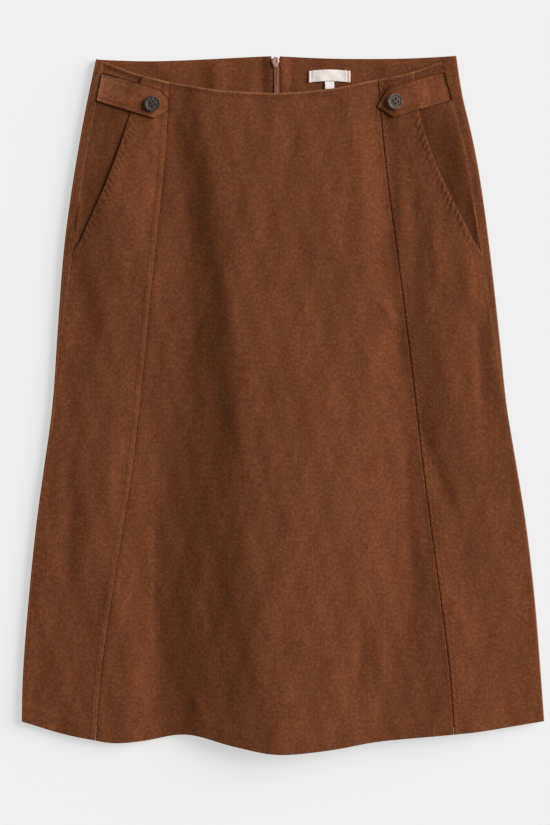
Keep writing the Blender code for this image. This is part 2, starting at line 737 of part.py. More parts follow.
def zip_slider():
    """The slider's body over the chain, with two lugs and a pin below it that carry the pull."""
    top, end = SLIDER_TOP, SLIDER_TOP + SLIDER_LENGTH
    half, nose = SLIDER_HALF, SLIDER_NOSE_HALF
    corner, shoulder, taper = SLIDER_CORNER, top + SLIDER_SHOULDER, top + SLIDER_TAPER
    right_side = [
        (half - corner, top), (half, top + corner), (half, shoulder), (nose, taper), (nose, end),
    ]
    outline = right_side + [(-x, down) for x, down in reversed(right_side)]
    body = slab("zip_slider", outline, SLIDER_BASE, SLIDER_BASE + SLIDER_THICK, "slider")
    lug_height = (HINGE_HEIGHT - PIN_RADIUS - LUG_BELOW, SLIDER_BASE + LUG_ROOT)
    lugs = [
        slab(
            f"lug_{name}",
            [
                (side * LUG_IN, HINGE_DOWN - LUG_HALF), (side * LUG_OUT, HINGE_DOWN - LUG_HALF),
                (side * LUG_OUT, HINGE_DOWN + LUG_HALF), (side * LUG_IN, HINGE_DOWN + LUG_HALF),
            ],
            *lug_height,
            "slider",
        )
        for side, name in SIDE_NAME.items()
    ]
    join(body, [*lugs, bar("pin", PIN_RADIUS, (LUG_IN + LUG_OUT) / 2, "slider")])


def zip_pull():
    """The pull, hanging down the outside of the back on its eye."""
    eye = bar("zip_pull", EYE_RADIUS, EYE_HALF, "slider", 16)
    low = HINGE_HEIGHT - EYE_RADIUS
    start, end = HINGE_DOWN + PULL_START, HINGE_DOWN + PULL_LENGTH
    widest = start + PULL_TAPER
    round_end = [
        (PULL_HALF * math.sin(a), end - PULL_HALF + PULL_HALF * math.cos(a))
        for a in (math.radians(d) for d in range(90, -91, -30))
    ]
    outline = [(-PULL_NECK, start), (PULL_NECK, start), (PULL_HALF, widest), *round_end]
    outline.append((-PULL_HALF, widest))
    plate = slab("pull_plate", outline, low, low + PULL_THICK, "slider")
    join(eye, [plate])
    join(eye, [bar("eye_hole", EYE_HOLE, 2 * EYE_HALF, "slider", 12)], "DIFFERENCE")


# ---- Label ---------------------------------------------------------------------------------------


def label():
    """The woven label on the facing, slightly arched, with a small size label under it."""
    height = CLOTH * 2 + GAP * 2 + LABEL_THICK / 2

    def main_point(u, v):
        x = LABEL_X + LABEL_WIDTH * (u - 0.5)
        down = LABEL_DOWN + LABEL_ARCH * (2 * u - 1) ** 2 + LABEL_HEIGHT * v
        return np.array([x, LENGTH / 2 - down, height])

    def size_point(u, v):
        x = LABEL_X + SIZE_WIDTH * (u - 0.5)
        arch = LABEL_ARCH * (SIZE_WIDTH / LABEL_WIDTH) ** 2
        down = LABEL_DOWN + arch + LABEL_HEIGHT + GAP + SIZE_HEIGHT * v
        return np.array([x, LENGTH / 2 - down, height])

    wall("label_main", main_point, spread(0, 1, 8), [0, 1], LABEL_THICK, "label")
    wall("label_size", size_point, [0, 1], [0, 1], LABEL_THICK, "label")


clear_scene()
front_centre()
for fold_side in SIDE_NAME:
    side_front(fold_side)
    pocket_back(fold_side)
    back_panel(fold_side)
    facing(fold_side)
for waist_tab in TABS:
    tab_piece(waist_tab)
    button(waist_tab)
zip_chain()
zip_slider()
zip_pull()
label()
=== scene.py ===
"""The finished look of an a-line skirt in fine-wale corduroy, laid flat on its back with the front up.

Objects are in metres in the frame's own axes: +X right, +Y from hem to waist, +Z up from the table. Sizes
in the tables are in millimetres, and "down" is the distance below the top of the back waist. The sections
follow the skirt as it is put together, from the back panels to the label.
"""

import math
from collections import namedtuple

import bmesh
import bpy
import numpy as np
from mathutils import Matrix, Vector
from mathutils.bvhtree import BVHTree
from mathutils.kdtree import KDTree


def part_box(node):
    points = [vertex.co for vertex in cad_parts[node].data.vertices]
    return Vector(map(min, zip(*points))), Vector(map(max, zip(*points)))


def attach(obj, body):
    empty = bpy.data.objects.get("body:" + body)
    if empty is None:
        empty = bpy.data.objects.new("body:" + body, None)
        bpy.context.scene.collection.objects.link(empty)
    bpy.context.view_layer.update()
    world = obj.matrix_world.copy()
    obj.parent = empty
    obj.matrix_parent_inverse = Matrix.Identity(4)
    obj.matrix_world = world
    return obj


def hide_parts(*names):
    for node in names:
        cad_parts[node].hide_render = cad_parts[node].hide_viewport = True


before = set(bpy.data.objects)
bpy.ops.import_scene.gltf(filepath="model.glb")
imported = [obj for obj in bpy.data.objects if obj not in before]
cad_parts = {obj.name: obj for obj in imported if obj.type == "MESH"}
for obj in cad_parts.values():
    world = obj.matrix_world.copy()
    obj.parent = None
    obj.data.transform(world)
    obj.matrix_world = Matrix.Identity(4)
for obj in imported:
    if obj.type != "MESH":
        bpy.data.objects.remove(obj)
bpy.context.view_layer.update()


# ---- Back panels ---------------------------------------------------------------------------------
# Two panels of cotton needlecord, joined at the centre back. They lie on the table, turn over at the
# sides and come up to the side seams on the front. Each panel is one wall of cloth, 1.2 mm thick.

MM = 0.001
TOP = 378.5  # Y of the top of the back waist
SIGNS = {"left": -1, "right": 1}  # which way each side lies along X
CENTRE_BACK = -7.3

Sides = namedtuple("Sides", "down left right")
OUTLINE = [
    Sides(0, -201.4, 187.6), Sides(46, -211.3, 194.5), Sides(80, -217.8, 203.2),
    Sides(124, -225.4, 211.9), Sides(210, -237.3, 223.8), Sides(297, -243.9, 233.5),
    Sides(384, -249.6, 242.4), Sides(428, -255.8, 249.8), Sides(514, -267.7, 263.9),
    Sides(601, -276.4, 273.7), Sides(688, -282.4, 280.4), Sides(722, -282.9, 282.9),
]
FLAT_SIDE = 2.0  # the folds at the sides stay even for this far in, and the creases start beyond
CREASED_SIDE = 13.0
FOLD_MIDDLE = 3.4  # height at which the back turns into the front
FOLD_TOP = 5.6
FOLD_RADIUS = 2.8
FOLD_SCUFF_AND_HIGHLIGHT = {"left": 0.0, "right": 1.6}  # mm less of pale, from scuffing and a painted highlight, at each side fold; the right one faces the light
SEAM_SCUFF_AND_HIGHLIGHT = 1.3  # and at the side seams
SEAM_CLOSES = 0.12  # each side of a seam is brought this much nearer to the other
SEAM_DRAG = 47.0  # the right side seam is drawn in above this level, where the tab is caught in it
NOTCH_CLOSES = 1.6  # the right side of the notch for the slider leans in by this much at the top
HEM_DEPTH = 21.0  # depth of the turned-up hem, which makes the cloth thicker
HEM_DIMPLE = 0.5  # how far its stitches dimple the outer face of the back
BORDER_ANGLE = math.radians(55)  # faces meet more sharply than this at a wall's borders
FAR = 99.0  # a distance that is too long to matter

# The creases of the front, which every layer there shares. Each runs from its first point to its second
# and bows to one side. Its two flanks have their own widths, and a trough has a height below zero.
Crease = namedtuple("Crease", "x1 down1 x2 down2 bow first_flank second_flank height")
CREASES = [
    Crease(-229, 199, -200, 335, -4, 10, 13, -1.3),
    Crease(-233, 309, -206, 307, 0, 2.5, 2.5, -0.7),
    Crease(-232, 373, -231, 601, 0, 9, 10, -1.3),
    Crease(-188, 389, -185, 530, 0, 10, 7, 1.1),
    Crease(-152, 102, -143, 116, 0, 5, 5, -0.7),
    Crease(-142, 72, -118, 56.5, 0, 1.5, 1.5, -0.9),
    Crease(-140, 460, -138, 707, 0, 3.5, 8, -0.8),
    Crease(-79, 275, -96, 321, 0, 3, 7, 0.6),
    Crease(-50, 320, -46, 580, 1, 14, 14, 0.4),
    Crease(-121, 42, -77, 172, 5, 7, 22, 0.9),
    Crease(-109, 55, -92, 290, 0, 12, 45, -2.0),
    Crease(-99, 330, -101, 470, 0, 9, 14, -0.8),
    Crease(80, 70, 88, 227, 0, 14, 9, 0.6),
    Crease(103, 256, 125, 303, 0, 6, 6, 1.1),
    Crease(109, 335, 123, 368, 0, 6, 5, 0.9),
    Crease(126, 91, 129, 265, 0, 6, 6, 0.8),
    Crease(140, 113, 146, 270, 0, 6, 6, -0.9),
    Crease(161, 121, 166, 265, 0, 7, 7, 0.8),
    Crease(180, 120, 201, 205, 0, 4, 9, 0.7),
    Crease(200, 200, 202, 288, 0, 15, 8, 1.5),
    Crease(212, 265, 219, 423, -2, 5, 11, -1.5),
    Crease(130, 373, 142, 639, 0, 5, 6, -0.7),
    Crease(232, 470, 240, 690, 0, 26, 20, 1.0),
    Crease(126, 304, 123, 330, 0, 4, 4, -0.6),
    Crease(142, 372, 205, 530, -7, 9, 7, -0.9),
    Crease(164, 547, 209, 662, 0, 12, 7, 0.9),
    Crease(85, 607, 81, 712, 0, 6, 6, -0.8),
    Crease(104, 601, 107, 704, 0, 6, 6, 0.6),
    Crease(-53, 243, -53, 310, 0, 3, 3, 0.2),
    Crease(9, 78, 9, 151, 0, 8, 6, -0.5),
    Crease(-98, 686, -82, 731, 0, 6, 7, 0.7),
    Crease(-93, 586, -82, 627, 0, 6, 4, 0.5),
    Crease(-16, 61, 1, 199, 0, 10, 10, 0.5),
    Crease(19, 43, 73, 52, 0, 5, 5, -0.6),
]
CREASE_END = 0.35  # share of a crease's length over which it fades at each end

# The outer face of the back lies on the table, and a few soft hollows rise in it.
BACK_CREASES = [
    Crease(-150, 60, -175, 420, 10, 9, 18, 0.9), Crease(-60, 240, -90, 700, -8, 16, 9, 0.9),
    Crease(70, 90, 95, 520, 6, 9, 16, 0.9), Crease(150, 300, 215, 690, -8, 16, 9, 0.9),
    Crease(-220, 480, -240, 700, 0, 9, 14, 0.8), Crease(20, 420, 10, 720, 5, 9, 14, 0.8),
]

# A slight unevenness all over: waves with their lengths across and along the skirt.
Ripple = namedtuple("Ripple", "across along start height")
RIPPLES = [
    Ripple(43, 170, 0.3, 0.20), Ripple(27, -95, 1.9, 0.12), Ripple(19, 61, 4.0, 0.07),
    Ripple(71, -240, 2.2, 0.22),
]

WALE = 1.9 * MM  # real needlecord has a rib every 1.5 mm, drawn wider here so that the ribs still show
PILE = 3.0 * MM  # tufts of cut pile that lean this way and that
STREAK = 8.0 * MM  # streaks where the pile has been brushed, several times as long as they are wide
NAP = 34.0 * MM  # broad patches of nap
ROPE = 7.0 * MM  # the short ropes into which a row of stitches gathers the cloth
ROPE_SLANT = 0.9  # how far they lean, in radians of their wave for each mm from the stitched border
CORD_DARK = "#482514"
CORD_BROWN = "#663921"
CORD_LIGHT = "#854f32"
# The palest tone: scuffed edges, painted highlights on rolled edges and folds, and lightened shadows by
# seams and tabs.
CORD_SCUFF_AND_HIGHLIGHT = "#9a6646"


def linear(colour, shade=1.0):
    """An sRGB hex colour as the linear RGBA that a shader takes, times a shade."""
    parts = [int(colour[i : i + 2], 16) / 255 for i in (1, 3, 5)]
    parts = [c / 12.92 if c <= 0.04045 else ((c + 0.055) / 1.055) ** 2.4 for c in parts]
    return (*(c * shade for c in parts), 1.0)


def add_node(tree, kind, links=(), **settings):
    """Adds a shader node. Settings name its sockets or properties, and links give (input, output)."""
    node = tree.nodes.new(kind)
    for name, value in settings.items():
        socket = next((s for s in node.inputs if s.name.replace(" ", "_") == name), None)
        if socket is None:
            setattr(node, name, value)
        else:
            socket.default_value = value
    for name, source in links:
        tree.links.new(node.inputs[name], source)
    return node


def fade(tree, source, start, end):
    """1 where the source is at start or before it, falling smoothly to 0 at end."""
    return add_node(
        tree, "ShaderNodeMapRange", [("Value", source)], interpolation_type="SMOOTHSTEP",
        From_Min=start, From_Max=end, To_Min=1.0, To_Max=0.0,
    ).outputs["Result"]


def weighted_sum(tree, terms):
    """The sum of outputs, each times its weight."""
    total = None
    for source, weight in terms:
        term = add_node(tree, "ShaderNodeMath", [(0, source)], operation="MULTIPLY_ADD")
        term.inputs[1].default_value = weight
        term.inputs[2].default_value = 0.0
        if total is not None:
            tree.links.new(term.inputs[2], total)
        total = term.outputs[0]
    return total


def plain_material(name, **inputs):
    """A new material with its tree and shader. The shader's inputs are named with _ for each space."""
    material = bpy.data.materials.new(name)
    material.use_nodes = True
    shader = material.node_tree.nodes["Principled BSDF"]
    for socket, value in inputs.items():
        shader.inputs[socket.replace("_", " ")].default_value = value
    return material, material.node_tree, shader


def toned(tree, source, stops):
    """A colour that runs through stops of (level, colour) as the source rises."""
    ramp = add_node(tree, "ShaderNodeValToRGB", [("Fac", source)])
    elements = ramp.color_ramp.elements
    elements[0].position, elements[0].color = stops[0]
    elements[1].position, elements[1].color = stops[-1]
    for level, colour in stops[1:-1]:
        elements.new(level).color = colour
    return ramp.outputs["Color"]


def mixed(tree, factor, colour, other):
    """A colour that gives way to another, even one as the factor rises."""
    mix = add_node(tree, "ShaderNodeMix", [("Factor", factor)], data_type="RGBA")
    tree.links.new(mix.inputs[6], colour)
    mix.inputs[7].default_value = other
    return mix.outputs[2]


def add_relief(tree, shader, height, strength, depth):
    """Gives a shader a fine relief, with its depth in mm."""
    relief = add_node(tree, "ShaderNodeBump", [("Height", height)], Strength=strength, Distance=depth * MM)
    tree.links.new(shader.inputs["Normal"], relief.outputs["Normal"])


def wave_scale(period):
    """The scale at which a wave texture repeats after a period in metres."""
    return math.pi / 10 / period


def corduroy(name, turn=0.0, shade=1.0, stitch_at=6.2):
    """Cotton needlecord: fine ribs of cut pile, soft and matt. Its shade follows the way the pile lies.

    The cloth's pale-edge attribute is the distance in mm to the nearest edge that is made pale, partly by
    scuffing and partly as a painted highlight or a lightened shadow, and "sewn" that to its nearest
    topstitched border, beside which a groove runs under the stitches. Its "pulled" attribute is how
    strongly the stitches gather it into short slanting ropes. The shade argument makes lighter and darker
    copies of the cloth, which paint light on the tabs and shade on the hip pieces.
    """
    material, tree, shader = plain_material(
        name, Roughness=0.92, Specular_IOR_Level=0.06, Sheen_Weight=0.12, Sheen_Roughness=0.5,
        Sheen_Tint=linear("#b06a40"),
    )
    place = add_node(tree, "ShaderNodeTexCoord").outputs["Object"]
    along = add_node(
        tree, "ShaderNodeMapping", [("Vector", place)], Rotation=(0, 0, turn)
    ).outputs["Vector"]

    def noise(size, stretch, detail):
        longer = add_node(tree, "ShaderNodeMapping", [("Vector", along)], Scale=(1, 1 / stretch, 1))
        return add_node(
            tree, "ShaderNodeTexNoise", [("Vector", longer.outputs["Vector"])], Scale=1 / size,
            Detail=detail, Roughness=0.6,
        ).outputs["Fac"]

    ribs = add_node(
        tree, "ShaderNodeTexWave", [("Vector", along)], wave_type="BANDS", bands_direction="X",
        wave_profile="SIN", Scale=wave_scale(WALE), Distortion=1.2, Detail=2.0, Detail_Scale=1.4,
    ).outputs["Fac"]
    pile = noise(PILE, 1.0, 2.0)
    streaks = noise(STREAK, 4.0, 3.0)
    nap = noise(NAP, 1.8, 3.0)
    scuff_and_highlight, pulled, sewn = (
        add_node(tree, "ShaderNodeAttribute", attribute_name=noted).outputs["Fac"]
        for noted in ("scuff_and_highlight", "pulled", "sewn")
    )

    tone = weighted_sum(tree, [(ribs, 0.03), (pile, 0.30), (streaks, 0.07), (nap, 0.09)])
    stops = [(0.10, CORD_DARK), (0.25, CORD_BROWN), (0.40, CORD_LIGHT)]
    colour = toned(tree, tone, [(level, linear(brown, shade)) for level, brown in stops])
    # Paler towards the marked edges: scuffing, and painted highlights on rolls and folds and lightened
    # shadows.
    pale_share = add_node(
        tree, "ShaderNodeMath", [(0, fade(tree, scuff_and_highlight, 0.4, 3.2)), (1, pile)], operation="MULTIPLY"
    ).outputs[0]
    pale_colour = mixed(tree, pale_share, colour, linear(CORD_SCUFF_AND_HIGHLIGHT, shade))
    tree.links.new(shader.inputs["Base Color"], pale_colour)

    from_stitches = add_node(tree, "ShaderNodeMath", [(0, sewn)], operation="SUBTRACT")
    from_stitches.inputs[1].default_value = stitch_at
    to_stitches = add_node(
        tree, "ShaderNodeMath", [(0, from_stitches.outputs[0])], operation="ABSOLUTE"
    ).outputs[0]
    groove = fade(tree, to_stitches, 0.0, 1.3)
    level = add_node(tree, "ShaderNodeSeparateXYZ", [("Vector", place)]).outputs["Y"]
    turns = weighted_sum(tree, [
        (level, 2 * math.pi / ROPE), (sewn, ROPE_SLANT), (noise(3 * ROPE, 1.0, 1.0), 14.0),
    ])
    rope = add_node(tree, "ShaderNodeMath", [(0, turns)], operation="SINE").outputs[0]
    roped = add_node(tree, "ShaderNodeMath", [(0, rope), (1, pulled)], operation="MULTIPLY").outputs[0]
    height = weighted_sum(tree, [(ribs, 0.04), (pile, 0.22), (groove, -0.14), (roped, 0.45)])
    add_relief(tree, shader, height, 0.8, 1.0)
    return material


def smooth(low, high, value):
    """0 below low, 1 above high, and a smooth rise between."""
    t = np.clip((value - low) / (high - low), 0, 1)
    return t * t * (3 - 2 * t)


def band(rise, top, fall, end, value):
    """1 from top to fall, and 0 before rise and after end."""
    return smooth(rise, top, value) * (1 - smooth(fall, end, value))


def hump(distance, width):
    """1 at no distance, falling away on both sides over about the width."""
    return np.exp(-((distance / width) ** 2))


def upper_face(normals):
    """1 on the upper face of a wall, falling to 0 at its borders and underneath."""
    return smooth(0.0, 0.5, normals[:, 2])


def line_through(rows, name):
    """A smooth line through a column of a table, by its first column. It never overshoots the points."""
    at = np.array([row[0] for row in rows], float)
    values = np.array([getattr(row, name) for row in rows], float)
    slope = np.diff(values) / np.diff(at)
    before, after = slope[:-1], slope[1:]
    turns = before * after <= 0
    inner = np.where(turns, 0, 2 * before * after / np.where(turns, 1, before + after))
    tangent = np.concatenate([slope[:1], inner, slope[-1:]])

    def value(x):
        x = np.clip(x, at[0], at[-1])
        i = np.clip(np.searchsorted(at, x, side="right") - 1, 0, len(at) - 2)
        width = at[i + 1] - at[i]
        t = (x - at[i]) / width
        rise = (3 - 2 * t) * t * t
        bend = width * t * (1 - t) * ((1 - t) * tangent[i] - t * tangent[i + 1])
        return values[i] * (1 - rise) + values[i + 1] * rise + bend

    return value


outline = {side: line_through(OUTLINE, side) for side in SIGNS}


def folded_by(creases, x, down):
    """Height of a set of creases at x, down."""
    height = 0.0
    for c in creases:
        run_x, run_down = c.x2 - c.x1, c.down2 - c.down1
        length = math.hypot(run_x, run_down)
        share = np.clip(((x - c.x1) * run_x + (down - c.down1) * run_down) / length**2, 0, 1)
        aside = ((x - c.x1) * run_down - (down - c.down1) * run_x) / length
        aside = aside - c.bow * 4 * share * (1 - share)
        flank = np.where(aside < 0, c.first_flank, c.second_flank)
        ends = smooth(0, CREASE_END, share) * smooth(0, CREASE_END, 1 - share)
        height = height + c.height * hump(aside, flank) * ends
    return height


def crease_lift(x, down):
    """How far the creases and ripples lift the front at x, down. It fades out at the side folds."""
    lift = sum(
        r.height * np.sin(2 * math.pi * (x / r.across + down / r.along) + r.start) for r in RIPPLES
    )
    lift = lift + folded_by(CREASES, x, down)
    inside = np.minimum(x - outline["left"](down), outline["right"](down) - x)
    return lift * smooth(FLAT_SIDE, CREASED_SIDE, inside)


def only(piece):
    """Makes the piece the one selected and active object."""
    bpy.ops.object.select_all(action="DESELECT")
    piece.select_set(True)
    bpy.context.view_layer.objects.active = piece


def apply_modifier(piece, kind, **settings):
    modifier = piece.modifiers.new(kind.lower(), kind)
    for name, value in settings.items():
        setattr(modifier, name, value)
    only(piece)
    bpy.ops.object.modifier_apply(modifier=modifier.name)


def round_edges(piece, width, segments=2, angle=math.radians(30)):
    """Rounds the edges that are sharper than an angle, over a width in mm."""
    apply_modifier(
        piece, "BEVEL", width=width * MM, segments=segments, limit_method="ANGLE", angle_limit=angle
    )


def subdivide(piece, levels, kind="CATMULL_CLARK"):
    if levels:
        apply_modifier(piece, "SUBSURF", subdivision_type=kind, levels=levels, render_levels=levels)


def wall_copy(name, node):
    """A copy of a node's wall, merged, with its triangles joined back into a grid of quads."""
    piece = bpy.data.objects.new(name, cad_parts[node].data.copy())
    bpy.context.scene.collection.objects.link(piece)
    only(piece)
    bpy.ops.object.mode_set(mode="EDIT")
    bpy.ops.mesh.select_all(action="SELECT")
    bpy.ops.mesh.remove_doubles(threshold=0.01 * MM)
    bpy.ops.mesh.tris_convert_to_quads(
        face_threshold=math.radians(80), shape_threshold=math.radians(170), topology_influence=1.0
    )
    bpy.ops.object.mode_set(mode="OBJECT")
    return piece


Borders = namedtuple("Borders", "points lengthwise")


def border_of(piece):
    """Points spaced along the borders of a wall, in mm, and whether each border there runs lengthwise."""
    bm = bmesh.new()
    bm.from_mesh(piece.data)
    points, lengthwise = [], []
    for edge in bm.edges:
        if edge.is_manifold and edge.calc_face_angle() > BORDER_ANGLE:
            start, end = (v.co for v in edge.verts)
            run = end - start
            if run.length < 1.5 * MM and abs(run.z) > 0.7 * run.length:
                continue  # a corner of the wall, across its thickness
            count = max(1, round(run.length / (0.7 * MM)))
            points += [start.lerp(end, i / count) / MM for i in range(count)]
            lengthwise += [abs(run.y) > abs(run.x)] * count
    bm.free()
    return Borders(np.array(points), np.array(lengthwise))


def cut_lengthwise(piece, cuts):
    """Adds rows across a wall: cuts every edge that runs from waist to hem."""
    bm = bmesh.new()
    bm.from_mesh(piece.data)
    long_edges = []
    for edge in bm.edges:
        run = edge.verts[1].co - edge.verts[0].co
        if abs(run.y) > 2.2 * max(abs(run.x), abs(run.z)):
            long_edges.append(edge)
    bmesh.ops.subdivide_edges(bm, edges=long_edges, cuts=cuts, use_grid_fill=True)
    bm.to_mesh(piece.data)
    bm.free()


def refine(piece, first, cuts, last, rim=0.5):
    """Rounds a wall's borders and makes its mesh fine. Returns where its borders were."""
    borders = border_of(piece)
    round_edges(piece, rim, angle=BORDER_ANGLE)
    subdivide(piece, first)
    if cuts:
        cut_lengthwise(piece, cuts)
    subdivide(piece, last)
    return borders


def points_of(piece):
    """A mesh's points in mm, and their normals."""
    count = len(piece.data.vertices)
    points, normals = np.empty(count * 3), np.empty(count * 3)
    piece.data.vertices.foreach_get("co", points)
    piece.data.vertices.foreach_get("normal", normals)
    return points.reshape(-1, 3) / MM, normals.reshape(-1, 3)


def move_points(piece, points):
    piece.data.vertices.foreach_set("co", (points * MM).ravel())
    piece.data.update()


def note(piece, name, values):
    """Stores a number at every point of a piece, for its material."""
    piece.data.attributes.new(name, "FLOAT", "POINT").data.foreach_set(
        "value", np.ascontiguousarray(values, np.float32)
    )


def distance_to(points, targets):
    """The distance in mm from each point to the nearest target."""
    if not len(targets):
        return np.full(len(points), FAR)
    tree = KDTree(len(targets))
    for i, target in enumerate(targets):
        tree.insert(target, i)
    tree.balance()
    return np.array([tree.find(point)[2] for point in points])


def close_seam(points, normals, seam):
    """Brings a wall's border nearer to the piece that it is sewn to."""
    near = 1 - smooth(1.0, 2.0, distance_to(points, seam))
    points[:, :2] += SEAM_CLOSES * near[:, None] * normals[:, :2]


def finish_cloth(piece, node, material):
    for name, plain in (("scuff_and_highlight", FAR), ("sewn", FAR), ("pulled", 0.0)):
        if name not in piece.data.attributes:
            note(piece, name, np.full(len(piece.data.vertices), plain))
    only(piece)
    bpy.ops.object.shade_smooth_by_angle(angle=math.radians(60))
    piece.data.materials.clear()
    piece.data.materials.append(material)
    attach(piece, "skirt")
    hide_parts(node)


def square_fold(points, side, sign):
    """Presses the upper half of a side fold squarer than round. Returns the distance from its edge."""
    into_fold = FOLD_RADIUS - sign * (outline[side](TOP - points[:, 1]) - points[:, 0])
    above = points[:, 2] - FOLD_RADIUS - 0.6
    turn = np.arctan2(np.maximum(above, 0), np.maximum(into_fold, 0))
    squared = (np.abs(np.cos(turn)) ** 4 + np.abs(np.sin(turn)) ** 4) ** -0.25
    in_fold = (into_fold > 0) & (above > 0)
    points[:, 0] += np.where(in_fold, sign * into_fold * (squared - 1), 0)
    points[:, 2] += np.where(in_fold, above * (squared - 1), 0)
    return np.where(above > 0, np.abs(outline[side](TOP - points[:, 1]) - points[:, 0]), FAR)


def close_notch(points):
    """Brings the right side of the notch in."""
    beside = points[:, 0] - CENTRE_BACK
    near = (1 - smooth(5.0, 16.0, beside)) * (beside > 0)
    points[:, 0] -= NOTCH_CLOSES * near * (1 - smooth(4.0, 11.0, TOP - points[:, 1]))


body_cord = corduroy("cotton_needlecord", shade=1.03)
for side, sign in SIGNS.items():
    back = wall_copy(f"back_{side}_cloth", f"back_{side}")
    borders = refine(back, 1, 0, 2)
    points, normals = points_of(back)
    close_seam(points, normals, borders.points[borders.lengthwise])
    x, y, z = points.T
    down = TOP - y
    from_seam = distance_to(points, borders.points[borders.lengthwise & (borders.points[:, 2] > 3.0)])
    from_fold = square_fold(points, side, sign)
    drag = 1 - smooth(SEAM_DRAG, SEAM_DRAG + 4.0, down)
    # Pale at the side seams and folds: scuffing, and a painted highlight on folds turned away from the
    # light.
    seam_scuff_and_highlight = from_seam + SEAM_SCUFF_AND_HIGHLIGHT + (2.0 * drag if side == "right" else 0)
    # Beside the left tab's seamed end the cloth is painted paler, lightening the tab's shadow there.
    if side == "left":
        by_tab = band(14, 22, 48, 56, down)
        seam_scuff_and_highlight = seam_scuff_and_highlight * (1 - by_tab) + by_tab * (0.8 + from_seam / 4)
    note(back, "scuff_and_highlight", np.minimum(from_fold + FOLD_SCUFF_AND_HIGHLIGHT[side], seam_scuff_and_highlight))
    from_hem = distance_to(points, borders.points[borders.points[:, 1] < TOP - 700])
    dimple = HEM_DIMPLE * hump(from_hem - HEM_DEPTH - 1.0, 2.5)
    under = 1 - smooth(0.1, 0.5, z)
    z += under * (dimple + folded_by(BACK_CREASES, x, down))
    on_front = smooth(FOLD_MIDDLE, FOLD_TOP, z)
    z += on_front * crease_lift(x, down)
    if side == "right":
        z -= 0.4 * on_front * drag * hump(from_seam, 1.6)
        close_notch(points)
    move_points(back, points)
    finish_cloth(back, f"back_{side}", body_cord)


# ---- Back waist facing ---------------------------------------------------------------------------
# The same needlecord, right side out, turned in along the back waist. It lies a little slack.

FACING_SLACK = [Ripple(38, 210, 0.5, 0.22), Ripple(61, -130, 2.4, 0.26), Ripple(23, 90, 1.1, 0.10)]
FACING_CREASES = [
    Crease(-133, 4, -127, 30, 0, 9, 12, 1.1), Crease(-76, 2, -72, 50, 0, 9, 14, 1.4),
    Crease(146, 2, 139, 28, 0, 9, 10, 0.9), Crease(-38, 10, -30, 60, 0, 8, 12, 0.8),
]
ZIP_EDGE = 1.1  # the left facing reaches this much nearer to the zip, below the notch
FACING_CELL = 3.5


def facing_lift(x, down):
    """How far the slack facing stands above its lowest, which is nowhere near the zip or the sides."""
    slack = sum(
        r.height * (1 + np.sin(2 * math.pi * (x / r.across + down / r.along) + r.start))
        for r in FACING_SLACK
    )
    slack = slack + np.maximum(folded_by(FACING_CREASES, x, down), 0)
    inside = np.minimum(x - outline["left"](down), outline["right"](down) - x)
    return slack * smooth(12, 30, np.abs(x - CENTRE_BACK)) * smooth(8, 40, inside) * smooth(2, 9, down)


def cut_grid(piece, across, along):
    """Cuts a flat wall into cells of the given size, in mm."""
    bm = bmesh.new()
    bm.from_mesh(piece.data)
    low = [min(v.co[axis] for v in bm.verts) / MM for axis in (0, 1)]
    high = [max(v.co[axis] for v in bm.verts) / MM for axis in (0, 1)]
    for axis, size in ((0, across), (1, along)):
        count = max(1, round((high[axis] - low[axis]) / size))
        normal = Vector((axis == 0, axis == 1, 0))
        for i in range(1, count):
            at = low[axis] + (high[axis] - low[axis]) * i / count
            bmesh.ops.bisect_plane(
                bm, geom=[*bm.verts, *bm.edges, *bm.faces], plane_co=normal * at * MM, plane_no=normal
            )
    bm.to_mesh(piece.data)
    bm.free()


facing_cord = corduroy("facing_needlecord", shade=1.05)
for side in SIGNS:
    facing = wall_copy(f"facing_{side}_cloth", f"facing_{side}")
    refine(facing, 0, 0, 0, rim=0.4)
    cut_grid(facing, FACING_CELL, FACING_CELL)
    points, _ = points_of(facing)
    x, y, z = points.T
    down = TOP - y
    z += facing_lift(x, down)
    if side == "right":
        close_notch(points)
    else:
        by_zip = 1 - smooth(2.0, 12.0, CENTRE_BACK - 4.0 - x)
        x += ZIP_EDGE * by_zip * smooth(3.0, 13.0, down)
    move_points(facing, points)
    finish_cloth(
        facing, f"facing_{side}", facing_cord
    )


# ---- Pocket backs --------------------------------------------------------------------------------
# The hip pieces of needlecord that show in the slanted pocket mouths and run on behind the side fronts.

POCKET_REACH = 2.3  # how far its side border is drawn back to the side seam at the mouth's end
SLIT_CLOSES = 0.6  # how much nearer it is drawn to the side seam just above the mouth's end
SLIT_RISE = 1.0  # and how far the hip piece comes up to it there
POCKET_RISE = {"left": 1.3, "right": 0.0}  # how far it stands up again behind the mouth's edge
MOUTHS = [
    Sides(16, -150.5, 142.0), Sides(62, -165.6, 147.6), Sides(91, -173.6, 156.5),
    Sides(110, -181.4, 163.0), Sides(140, -191.6, 176.0), Sides(180, -210.9, 196.6),
    Sides(214, -226.4, 213.9),
]
MOUTH_END = 214.0
mouths = {side: line_through(MOUTHS, side) for side in SIGNS}

Edge = namedtuple("Edge", "x down")
WAIST = [
    Edge(-201.4, 4), Edge(-156, 21), Edge(-111.5, 31), Edge(-65, 38.3), Edge(-8, 41),
    Edge(50, 36.6), Edge(91, 28.3), Edge(131, 20.5), Edge(169, 7.5), Edge(187.6, 0),
]
ROLL = 0.5  # the waist edge is turned in over its seam, and stands this much proud
front_waist = line_through(WAIST, "down")


def roll_waist(points, normals, x, down, hollow):
    """Raises the front's waist edge to a soft roll with a hollow below it."""
    below = down - front_waist(x)
    points[:, 2] += upper_face(normals) * (ROLL * hump(below, 3.0) - hollow * hump(below - 7.0, 3.5))
    return np.abs(below)
